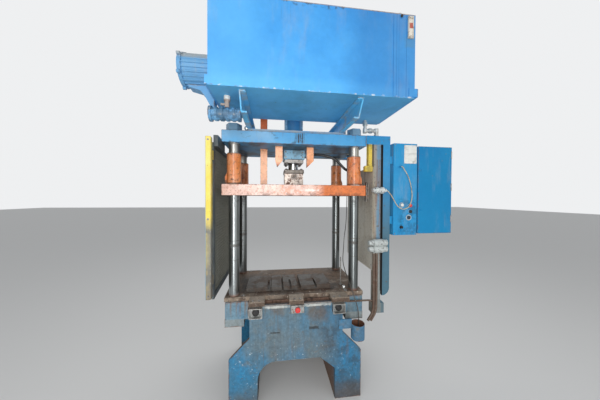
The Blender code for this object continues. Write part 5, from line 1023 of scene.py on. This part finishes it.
# %% Head, collars and wipers
shape = bmesh.new()
block(shape, (-0.0895, -0.0895, 1.8225), (0.0895, 0.0895, 1.8995), 0.003)
keep("head_cover", shape, paint_of("cylinder_head"), "frame")
shape = bmesh.new()
block(shape, (-0.0800, -0.0800, 1.7905), (0.0800, 0.0800, 1.8220), 0.002)
ROD_FOOT = (0.392, -0.150, 0.7605)
peg(shape, ROD_FOOT, UP, 0.0140, 0.012, 20)
peg(shape, ROD_FOOT, UP, 0.0045, 0.235, 12)
for x, y in COLUMNS:
    ring(shape, (x, y, 1.8880), UP, 0.0385, 0.0430, 0.0117, 36)
keep("retainer_and_collars", shape, OLD_STEEL, "frame", True)
shape = bmesh.new()
for x, y in COLUMNS:
    ring(shape, (x, y, 1.8203), UP, 0.0390, 0.0490, 0.0050, 40)
keep("wiper_rings", shape, OLD_STEEL, "platen", True)
shape = bmesh.new()
block(shape, (-0.262, -0.3000, 0.655), (0.262, -0.2890, 0.7287))
keep("bed_apron", shape, apron_finish, "frame")
print("head cover, collars and wipers")

# %% Device rings, blank plate and knob
PLATE_FACE = BOX_FACE - 0.0014
shape = bmesh.new()
for x, z, wide in ((0.842, 1.441, 0.0200), (0.915, 1.437, 0.0178), (0.916, 1.389, 0.0178), (0.903, 1.341, 0.0225)):
    ring(shape, (x, BOX_FACE, z), FRONT_WAY, 0.0134, wide, 0.0032, 32)
keep("device_rings", shape, ALUMINIUM, "frame", True)
shape = bmesh.new()
block(shape, (0.860, PLATE_FACE, 1.773), (0.968, BOX_FACE, 1.920), 0.0005)
keep("blank_plate", shape, ALUMINIUM, "frame")
shape = bmesh.new()
peg(shape, (0.842, BOX_FACE, 1.262), FRONT_WAY, 0.0150, 0.0040, 28)
peg(shape, (0.842, BOX_FACE - 0.0038, 1.262), FRONT_WAY, 0.0092, 0.0100, 8)
peg(shape, (0.592, -0.6780, 2.598), FRONT_WAY, 0.0085, 0.0036, 20)
keep("knob_and_plug", shape, paint_of("push_black"), "frame", True)
print("rings, plate and knob")

# %% Hinges and latches of the cabinet
shape = bmesh.new()
for z in (1.30, 1.56, 1.82):
    peg(shape, (1.2790, -0.3040, z), UP, 0.0045, 0.060, 14, 0.0008)
keep("cabinet_hinges", shape, OLD_STEEL, "door", True)
shape = bmesh.new()
for z in (1.40, 1.72):
    ring(shape, (1.008, BOX_FACE, z), FRONT_WAY, 0.0060, 0.0125, 0.0030, 24)
    peg(shape, (1.008, BOX_FACE, z), FRONT_WAY, 0.0058, 0.0022, 20, 0.0006)
    block(shape, (1.0072, BOX_FACE - 0.0032, z - 0.0048), (1.0088, BOX_FACE - 0.0018, z + 0.0048), 0.0002)
keep("cabinet_latches", shape, paint_of("cabinet_door"), "door", True)
print("hinges and latches")

# %% [markdown]
# ## Inside the cabinet
# The photo shows the cabinet shut, so its inside is a guess: the usual mounting plate on four studs,
# with cable ducts round it and two rails, which carry a contactor with four relays and a row of
# terminals.

# %% Mounting plate, rails and devices
low, high = (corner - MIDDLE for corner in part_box("cabinet_door"))
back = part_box("control_cabinet")[1].y - MIDDLE.y
SIDE_GAP, END_GAP, STAND_OFF, DUCT_DEPTH = 0.024, 0.034, 0.012, 0.040
left, right_end, bottom, top = low.x + SIDE_GAP, high.x - SIDE_GAP, low.z + END_GAP, high.z - END_GAP
face = back - STAND_OFF
shape = bmesh.new()
block(shape, (left, face, bottom), (right_end, face + 0.002, top), 0.0005)
for x in (left + 0.012, right_end - 0.012):
    for z in (bottom + 0.012, top - 0.012):
        peg(shape, (x, back - 0.0025, z), FRONT_WAY, 0.0050, 0.0130, 12)
rows = (top - 0.130, bottom + 0.160)
for z in rows:
    block(shape, (left + 0.052, face - 0.0075, z - 0.0175), (right_end - 0.048, face + 0.0005, z + 0.0175), 0.0010)
keep("mounting_plate", shape, finish_of("galvanised plate", (138, 140, 137), 0.6, [
    ([blotch(22, 0.46, 0.06, 0.6)], (150, 152, 150), 0.55, 0.3)], metal=0.3), "frame")
shape = bmesh.new()
for x in (left + 0.012, right_end - 0.040):
    block(shape, (x, face - DUCT_DEPTH, bottom + 0.060), (x + 0.028, face + 0.0005, top - 0.060), 0.0010)
for z in (top - 0.058, bottom + 0.028):
    block(shape, (left + 0.012, face - DUCT_DEPTH, z), (right_end - 0.012, face + 0.0005, z + 0.030), 0.0010)
TERMINALS, TERMINAL_PITCH, RAIL_FACE = 14, 0.0092, face - 0.007
for step in range(TERMINALS):
    x = left + 0.058 + TERMINAL_PITCH * step
    block(shape, (x, face - 0.044, rows[1] - 0.023), (x + 0.0082, RAIL_FACE, rows[1] + 0.023), 0.0008)
keep("panel_ducts", shape, moulded("grey plastic", (178, 180, 178), 0.5, 0.3, 3), "frame")
shape = bmesh.new()
CONTACTOR, RELAY = (0.044, 0.072, 0.076), (0.020, 0.060, 0.066)
for x, (wide, deep, tall) in ((0.056, CONTACTOR), (0.104, RELAY), (0.127, RELAY), (0.150, RELAY), (0.173, RELAY)):
    block(shape, (left + x, face - deep, rows[0] - tall / 2), (left + x + wide, RAIL_FACE, rows[0] + tall / 2),
          0.0015)
keep("panel_devices", shape, paint_of("push_black"), "frame")
print("mounting plate, ducts and devices")

# %% Sight gauge with its glass
GAUGE_FRONT, GAUGE_BACK = -0.6820, -0.6723
shape = bmesh.new()
for left, bottom, right_end, top in ((0.6335, 2.4693, 0.6400, 2.6013), (0.6630, 2.4693, 0.6695, 2.6013),
                                     (0.6400, 2.4693, 0.6630, 2.4850), (0.6400, 2.5856, 0.6630, 2.6013)):
    block(shape, (left, GAUGE_FRONT, bottom), (right_end, GAUGE_BACK, top), 0.0006)
for z in (2.4770, 2.5935):
    peg(shape, (0.6515, -0.6790, z), FRONT_WAY, 0.0048, 0.0032, 18, 0.0006)
gauge = keep("gauge_frame", shape, paint_of("level_gauge"), "frame")
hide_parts("level_gauge")
shape = bmesh.new()
block(shape, (0.6398, -0.6790, 2.4848), (0.6632, -0.6725, 2.5858), 0.0003)
glass = finish_of("cloudy gauge glass", (222, 216, 204), 0.12, [
    ([spot((0.64, -0.70, 2.529), (0.664, -0.66, 2.562), 0.002, 0.001, 60)], (176, 60, 44), 0.2),
    ([blotch(40, 0.44, 0.1, 0.5, seed=3)], (150, 132, 104), 0.3)], coat=0.6, skin=(400.0, 0.00005))
keep("gauge_glass", shape, glass, "frame")
print("gauge frame and glass")

# %% Pipes and fittings between the crown and the tank
shape = bmesh.new()
for base, way, radius, height, sides in (
        ((0.545, -0.272, 2.030), RIGHT_WAY, 0.0125, 0.095, 20), ((0.575, -0.272, 2.030), RIGHT_WAY, 0.0205, 0.026, 6),
        ((0.545, -0.272, 2.012), UP, 0.0175, 0.036, 20), ((0.545, -0.272, 2.030), UP, 0.0125, 0.0805, 20),
        ((0.545, -0.272, 2.070), UP, 0.0205, 0.024, 6), ((0.640, -0.272, 2.012), UP, 0.0175, 0.036, 20),
        ((0.640, -0.272, 1.984), UP, 0.0125, 0.046, 20), ((0.640, -0.272, 1.984), UP, 0.0205, 0.018, 6),
        ((0.415, -0.070, 1.9885), UP, 0.0135, 0.122, 20), ((0.415, -0.070, 2.030), UP, 0.0205, 0.026, 6),
        ((0.474, 0.010, 1.9885), UP, 0.0160, 0.122, 20), ((0.474, 0.010, 2.046), UP, 0.0240, 0.030, 6),
        ((0.474, 0.010, 1.9885), UP, 0.0250, 0.016, 20)):
    peg(shape, base, way, radius, height, sides, 0.0016)
for base, way in (((0.1236, -0.062, 1.866), RIGHT_WAY), ((0.508, 0, 1.8995), DOWN)):
    turned(shape, [(0, 0), (0.0180, 0), (0.0180, 0.014), (0.0145, 0.015), (0.0145, 0.046), (0.0120, 0.048), (0, 0.048)],
           base, way, 24)
keep("pipes_and_fittings", shape, ALUMINIUM, "frame", True)
shape = bmesh.new()
for x, y, foot, ball_foot, ball, neck, neck_height in (
        (-0.375, -0.262, 1.988, 1.994, 0.0165, 0.009, 0.007), (0.392, -0.235, 0.7605, 0.764, 0.0135, 0.008, 0.005)):
    half_turn = [math.pi * step / 10 for step in range(1, 10)]
    turned(shape, [(0, 0), *((ball * math.sin(angle), ball - ball * math.cos(angle)) for angle in half_turn),
                   (0, 2 * ball)], (x, y, ball_foot), UP, 24)
    turned(shape, [(0, 0), (neck, 0), (neck, neck_height), (0, neck_height)], (x, y, foot), UP, 16)
keep("ball_fittings", shape, finish_of("bright ball", (226, 228, 226), 0.18, [
    ([blotch(60, 0.34, 0.06, 0.7, seed=2)], (120, 118, 112), 0.5, 0.4)], metal=0.7), "frame", True)
print("pipes, fittings and balls")

# %% [markdown]
# ## Screws and rivets
# The same few fasteners sit all over the machine, and each is a head on a washer that was turned to a
# random angle when it was tightened. One Geometry Nodes tree puts them on points: every point says
# which way its screw faces, how wide and how high it is, and the tree does the rest. The screws of one
# body become one mesh.

# %% Helpers for Geometry Nodes
def named(tree, name):
    """A vector that every point carries under this name."""
    return add(tree, "GeometryNodeInputNamedAttribute", {"Name": name}, data_type="FLOAT_VECTOR").outputs["Attribute"]


def along(tree, **lengths):
    """A vector from its lengths along X, Y and Z."""
    return add(tree, "ShaderNodeCombineXYZ", lengths).outputs[0]


def growing_tree(name, base, numbers):
    """A Geometry Nodes tree that grows something on its base, with a finish as its last input."""
    return new_group(name, [(base, "NodeSocketGeometry", None), *numbers, ("Finish", "NodeSocketMaterial", None)],
                     ("Geometry", "NodeSocketGeometry"), kind="GeometryNodeTree")


def end_tree(tree, instances, given, result):
    """Make the instances plain faces in the finish, because the export drops instances."""
    real = add(tree, "GeometryNodeRealizeInstances", {"Geometry": instances})
    painted = add(tree, "GeometryNodeSetMaterial", {"Geometry": real.outputs[0], "Material": given["Finish"]})
    set_socket(tree, result, painted.outputs[0])


# %% A tree for fasteners
fasteners, given, result = growing_tree("fasteners", "Points", [
    ("Sides", "NodeSocketInt", 6), ("Washer Width", NUMBER, 1.45), ("Washer Share", NUMBER, 0.22)])
washer = add(fasteners, "GeometryNodeMeshCylinder", {
    "Vertices": 14, "Radius": given["Washer Width"], "Depth": given["Washer Share"]})
head = add(fasteners, "GeometryNodeMeshCylinder", {"Vertices": given["Sides"], "Radius": 1.0, "Depth": 0.8})
cone = add(fasteners, "GeometryNodeMeshCone", {
    "Vertices": given["Sides"], "Radius Bottom": 1.0, "Radius Top": 0.72, "Depth": 0.16})
whole = add(fasteners, "GeometryNodeJoinGeometry")
half_washer = math_node(fasteners, "MULTIPLY", given["Washer Share"], 0.5)
for part, height in ((washer, half_washer), (head, 0.44), (cone, 0.84)):
    seated = add(fasteners, "GeometryNodeTransform", {
        "Geometry": part.outputs["Mesh"], "Translation": along(fasteners, Z=height)})
    fasteners.links.new(seated.outputs[0], whole.inputs[0])
facing = add(fasteners, "FunctionNodeAlignRotationToVector", {"Vector": named(fasteners, "facing")}, axis="Z")
spin = add(fasteners, "FunctionNodeRandomValue", {3: math.tau, "Seed": 7}, data_type="FLOAT")
twisted = add(fasteners, "FunctionNodeRotateRotation", {
    "Rotation": facing.outputs[0], "Rotate By": along(fasteners, Z=spin.outputs[1])}, rotation_space="LOCAL")
placed = add(fasteners, "GeometryNodeInstanceOnPoints", {
    "Points": given["Points"], "Instance": whole.outputs[0], "Rotation": twisted.outputs[0],
    "Scale": named(fasteners, "size")})
end_tree(fasteners, placed.outputs[0], given, result)
print("fasteners:", len(fasteners.nodes), "nodes")


# %% Put fasteners on points
def grown(name, mesh, tree, values, body):
    """The plain mesh that a tree makes of a base mesh, riding on a body."""
    piece = put_in_scene(name, mesh)
    modifier = piece.modifiers.new(name, "NODES")
    modifier.node_group = tree
    for socket in tree.interface.items_tree:
        if socket.item_type == "SOCKET" and socket.in_out == "INPUT" and socket.name in values:
            modifier[socket.identifier] = values[socket.name]
    evaluated = piece.evaluated_get(bpy.context.evaluated_depsgraph_get())
    plain = bpy.data.meshes.new_from_object(evaluated)
    piece.modifiers.clear()
    piece.data = plain
    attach(piece, body)
    return piece


def screw_on(name, screws, body, values):
    """Put one fastener at each (place, facing, radius, height)."""
    mesh = bpy.data.meshes.new(f"{name} points")
    mesh.from_pydata([at(*place) for place, *_ in screws], [], [])
    facing = mesh.attributes.new("facing", "FLOAT_VECTOR", "POINT")
    size = mesh.attributes.new("size", "FLOAT_VECTOR", "POINT")
    for index, (_, way, radius, height) in enumerate(screws):
        facing.data[index].vector = way
        size.data[index].vector = (radius, radius, height)
    return grown(name, mesh, fasteners, values, body)


def face_corners(node, inset, y):
    """Four places near the corners of a node's front face."""
    low, high = (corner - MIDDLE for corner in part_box(node))
    return [(x, y, z) for x in (low.x + inset, high.x - inset) for z in (low.z + inset, high.z - inset)]


def all_of(xs, ys, zs):
    """Every place that the coordinates make together."""
    return [(x, y, z) for x in xs for y in ys for z in zs]


def screws_at(way, *groups):
    """Screws that face one way, from groups of (places, radius, height)."""
    return [(place, way, radius, height) for places, radius, height in groups for place in places]


# %% Screws and rivets on every body
BED_TOP = 0.7610
plate_corners = [(x, PLATE_FACE, z) for z in (1.778, 1.915) for x in (0.8650, 0.9630)]
button_boxes = [(face_corners(box, 0.0075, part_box(box)[0].y - MIDDLE.y), 0.0030, 0.0016)
                for box in ("palm_box_left", "palm_box_right", "stop_button_box")]
screws = screws_at(FRONT_WAY, (face_corners("control_box_cover", 0.012, BOX_FACE), 0.0034, 0.0030),
                   (plate_corners, 0.0022, 0.0016), *button_boxes)
screws += screws_at(UP, (all_of((-0.318, -0.274, -0.020, 0.020, 0.274, 0.318), (-0.360,), (BED_TOP,)), 0.0062, 0.0060),
                    (all_of((-0.395, 0.395), (-0.262, 0.262), (BED_TOP,)), 0.0100, 0.0090))
screws += screws_at(DOWN, (all_of((-0.062, 0.062), (-0.062, 0.062), (1.7905,)), 0.0105, 0.0130))
screws += screws_at(FRONT_WAY, (all_of((-0.072, 0.072), (-0.0895,), (1.840, 1.882)), 0.0052, 0.0040),
                    (all_of((-0.581,), (-0.5000,), (0.872, 1.36, 1.858)), 0.0045, 0.0035))
hexagonal = {"Sides": 6, "Finish": OLD_STEEL}
screw_on("frame_screws", screws, "frame", hexagonal)
screw_on("platen_screws", screws_at(UP, (all_of((-0.064, 0.064), (-0.064, 0.064), (1.7360,)), 0.0105, 0.0090),
                                    (all_of((-0.104, 0.104), (-0.060, 0.060), (1.5952,)), 0.0095, 0.0100)),
         "platen", hexagonal)

RIVET = 0.0045, 0.0024
up_the_sheet = [0.84 + 0.099 * step for step in range(11)]
across_the_sheet = [-0.36 + 0.121 * step for step in range(1, 5)]
up_the_panel = [0.96 + 0.094 * step for step in range(9)]
rivets = screws_at(RIGHT_WAY, (all_of((-0.5873,), (-0.360, 0.245), up_the_sheet), *RIVET),
                   (all_of((-0.5873,), across_the_sheet, (0.826, 1.846)), *RIVET))
rivets += screws_at(LEFT_WAY, (all_of((0.6047,), (-0.270, 0.245), up_the_panel), *RIVET))
screw_on("sheet_rivets", rivets, "frame", {"Sides": 12, "Washer Width": 1.15, "Finish": OLD_STEEL})
print(len(screws), "screws and", len(rivets), "rivets on the frame")

# %% [markdown]
# ## Weld beads
# A stick weld is a row of overlapping ripples. A second tree walks along the seams, which are plain
# polylines, and sets one ripple of random size at every step.

# %% A tree for weld beads
welds, given, result = growing_tree("welds", "Seams", [("Pitch", NUMBER, 0.006), ("Width", NUMBER, 0.0045)])
walked = add(welds, "GeometryNodeMeshToCurve", {"Mesh": given["Seams"]})
stepped = add(welds, "GeometryNodeResampleCurve", {"Curve": walked.outputs[0], "Length": given["Pitch"]}, mode="LENGTH")
ripple = add(welds, "GeometryNodeMeshUVSphere", {"Segments": 8, "Rings": 5, "Radius": given["Width"]})
sizes = add(welds, "FunctionNodeRandomValue", {2: 0.82, 3: 1.12, "Seed": 3}, data_type="FLOAT")
laid = add(welds, "GeometryNodeInstanceOnPoints", {
    "Points": stepped.outputs[0], "Instance": ripple.outputs["Mesh"], "Scale": sizes.outputs[1]})
end_tree(welds, laid.outputs[0], given, result)
print("welds:", len(welds.nodes), "nodes")


# %% Beads along the seams
def weld_on(name, seams, material, body, pitch=0.006, width=0.0045):
    """Lay ripples along every seam, a list of places."""
    mesh = bpy.data.meshes.new(f"{name} seams")
    places, edges = [], []
    for seam in seams:
        edges += [(len(places) + step, len(places) + step + 1) for step in range(len(seam) - 1)]
        places += [at(*place) for place in seam]
    mesh.from_pydata(places, edges, [])
    grown(name, mesh, welds, {"Pitch": pitch, "Width": width, "Finish": material}, body)


def round_seam(x, y, z, radius, sides=24):
    """A level ring of places round an upright axis."""
    return [(x + radius * math.cos(math.tau * step / sides), y + radius * math.sin(math.tau * step / sides), z)
            for step in range(sides + 1)]


weld_on("sleeve_welds", [round_seam(x, y, 1.5962, 0.0530) for x, y in reversed(COLUMNS)]
        + [[(-0.2825, -0.204, 1.596), (-0.2255, -0.204, 1.596)]],
        paint_of("guide_sleeve_front_left"), "platen")
weld_on("crown_welds", [
    [(x, -0.286, 1.9890), (x, 0.269, 1.9890)] for x in (-0.3725, -0.3345, 0.3345, 0.3725)]
    + [[(-0.1620, -0.2010, 1.899), (-0.1020, -0.2010, 1.899)], [(0.0860, -0.2010, 1.899), (0.1460, -0.2010, 1.899)],
       [(0.5500, -0.2900, 1.905), (0.5500, -0.2900, 1.982)]], paint_of("crown_plate"), "frame")
weld_on("tank_welds", [[(x, -0.640, 2.1098), (x, 0.265, 2.1098)] for x in (-0.3725, 0.3725)],
        paint_of("tank_shell"), "frame", 0.007)
weld_on("base_welds", [[(x, -0.3700, 0.7275) for x in seam] for seam in ((-0.250, -0.052), (0.049, 0.255))],
        paint_of("base_frame"), "frame", 0.007, 0.005)
print("welds on the platen, crown, tank and base")

# %% [markdown]
# ## Expanded mesh on the left guard
# The guard's sheet is backed with expanded steel. A third tree lays the same crossed pair of strands on
# every cell of a grid, so that the strands meet and form diamonds.

# %% A tree for expanded mesh
expanded, given, result = growing_tree("expanded mesh", "Cells", [
    ("Strand Length", NUMBER, 0.05), ("Strand Width", NUMBER, 0.002), ("Thickness", NUMBER, 0.0014),
    ("Slope", NUMBER, 1.1)])
strand = add(expanded, "GeometryNodeMeshCube", {"Size": along(
    expanded, X=given["Thickness"], Y=given["Strand Length"], Z=given["Strand Width"])})
pair = add(expanded, "GeometryNodeJoinGeometry")
for slope in (given["Slope"], math_node(expanded, "MULTIPLY", given["Slope"], -1.0)):
    tilted = add(expanded, "GeometryNodeTransform", {
        "Geometry": strand.outputs["Mesh"], "Rotation": along(expanded, X=slope)})
    expanded.links.new(tilted.outputs[0], pair.inputs[0])
tiled = add(expanded, "GeometryNodeInstanceOnPoints", {"Points": given["Cells"], "Instance": pair.outputs[0]})
end_tree(expanded, tiled.outputs[0], given, result)
print("expanded mesh:", len(expanded.nodes), "nodes")

# %% Cells on the left guard
CELL_WIDTH, CELL_HEIGHT = 0.0218, 0.0446
COLUMNS_OF_CELLS, ROWS_OF_CELLS = 29, 24
cells = bpy.data.meshes.new("mesh cells")
cells.from_pydata([at(-0.5863, -0.3741 + CELL_WIDTH * column, 0.8223 + CELL_HEIGHT * row)
                   for column in range(COLUMNS_OF_CELLS) for row in range(ROWS_OF_CELLS)], [], [])
grown("expanded_mesh", cells, expanded, {
    "Strand Length": math.hypot(CELL_WIDTH, CELL_HEIGHT), "Slope": math.atan2(CELL_HEIGHT, CELL_WIDTH),
    "Finish": paint_of("guard_mesh_left")}, "frame")
print("expanded mesh of", COLUMNS_OF_CELLS * ROWS_OF_CELLS, "cells")
